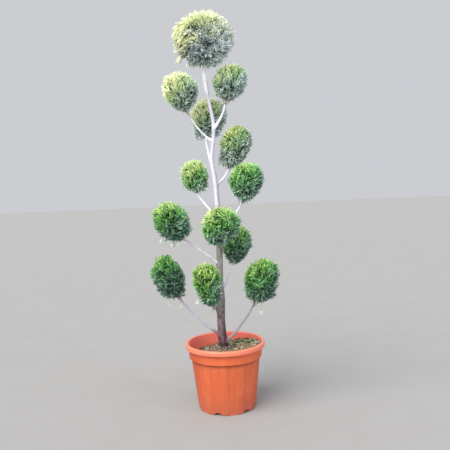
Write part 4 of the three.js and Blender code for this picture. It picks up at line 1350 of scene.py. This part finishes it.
def foliage(number, name, ball):
    """One ball: its twigs in one piece, and its outer, inner and hanging sprays in another."""
    random = np.random.default_rng(101 + 7 * number)
    area = math.pi * ball["width"] * (ball["width"] + ball["height"]) * 0.5
    count = round(area / SPRAY_AREA)
    outer, tufts, tuft, root = outer_sprays(ball, random, round(area / TUFT_AREA), count)
    leaves = [outer, inner_sprays(ball, random, round(count * INNER_SHARE))]
    twigs = branch_out(ball, random, tufts, tuft, root)
    if name in STRAGGLERS:
        bare, hanging = stragglers(name, ball, random)
        twigs.append(bare)
        leaves.append(hanging)
    points, faces, shade = joined(leaves)
    mesh_piece("leaves_" + name, points, faces, LEAVES[ball["ramp"]], ["pompom_" + name], shade,
               smooth=False)
    points, faces, shade = joined(twigs)
    mesh_piece("twigs_" + name, points, faces, TWIG_COLORS, shade=shade)


# Floor, light and camera

def floor():
    """A wide pale floor under the pot."""
    f = Finish("pale_floor", (152, 151, 150), 0.9, 0.2)
    f.tint((145, 144, 142), f.patches(6, 0.3, 0.7), 0.3)
    corners = FLOOR_REACH * np.array([[-1, -1, 0], [1, -1, 0], [1, 1, 0], [-1, 1, 0]])
    mesh_thing("floor", corners, [np.array([[0, 1, 2, 3]])], [f.done()])


def sun(name, towards, strength, softness, color):
    """A soft distant lamp that shines along towards."""
    data = bpy.data.lights.new(name, "SUN")
    data.energy, data.angle, data.color = strength, math.radians(softness), color
    away = -unit(np.array(towards))
    side = unit(np.cross(UP, away))
    into_scene(name, data, [side, np.cross(away, side), away])


def sky(color, strength, seen):
    """An even sky: how strongly it lights the scene, and how bright it is where it is seen."""
    world = bpy.data.worlds.new("sky")
    world.use_nodes = True
    background = world.node_tree.nodes["Background"]
    background.inputs["Color"].default_value = (*color, 1)
    path = node(world.node_tree, "ShaderNodeLightPath")
    level = node(world.node_tree, "ShaderNodeMapRange", {
        "Value": path.outputs["Is Camera Ray"], "To Min": strength, "To Max": seen})
    world.node_tree.links.new(level.outputs["Result"], background.inputs["Strength"])
    bpy.context.scene.world = world


def camera():
    """The photograph's viewing angle: 5 degrees down and rolled by 2.3 degrees."""
    pitch, roll = math.radians(5), math.radians(2.3)
    forward = np.array([0, math.cos(pitch), -math.sin(pitch)])
    right, up = np.array([1.0, 0, 0]), np.array([0, math.sin(pitch), math.cos(pitch)])
    rolled_right = math.cos(roll) * right - math.sin(roll) * up
    rolled_up = math.sin(roll) * right + math.cos(roll) * up
    data = bpy.data.cameras.new("camera")
    data.lens, data.sensor_width = 50.16, 36
    place = (0.0175, -2.3236, 0.8932)
    bpy.context.scene.camera = into_scene("camera", data, [rolled_right, rolled_up, -forward], place)


camera()
floor()
sky((0.93, 0.95, 1.0), 0.84, 0.64)
sun("key", (0.48, 0.56, -0.85), 3.8, 50, (1.0, 0.98, 0.94))
sun("fill", (-0.7, 0.5, -0.30), 0.7, 40, (0.80, 0.82, 1.0))
sun("front", (0.25, 0.95, -0.05), 0.5, 60, (0.95, 0.96, 1.0))
bpy.context.scene.view_settings.view_transform = "Standard"

place_balls()
pot()
soil()
moss()
litter()
trunk()
bough_finish = bough_bark()
for name, ball in BALLS.items():
    if "fork" in ball:
        bough(name, ball, bough_finish)
for number, (name, ball) in enumerate(BALLS.items()):
    foliage(number, name, ball)
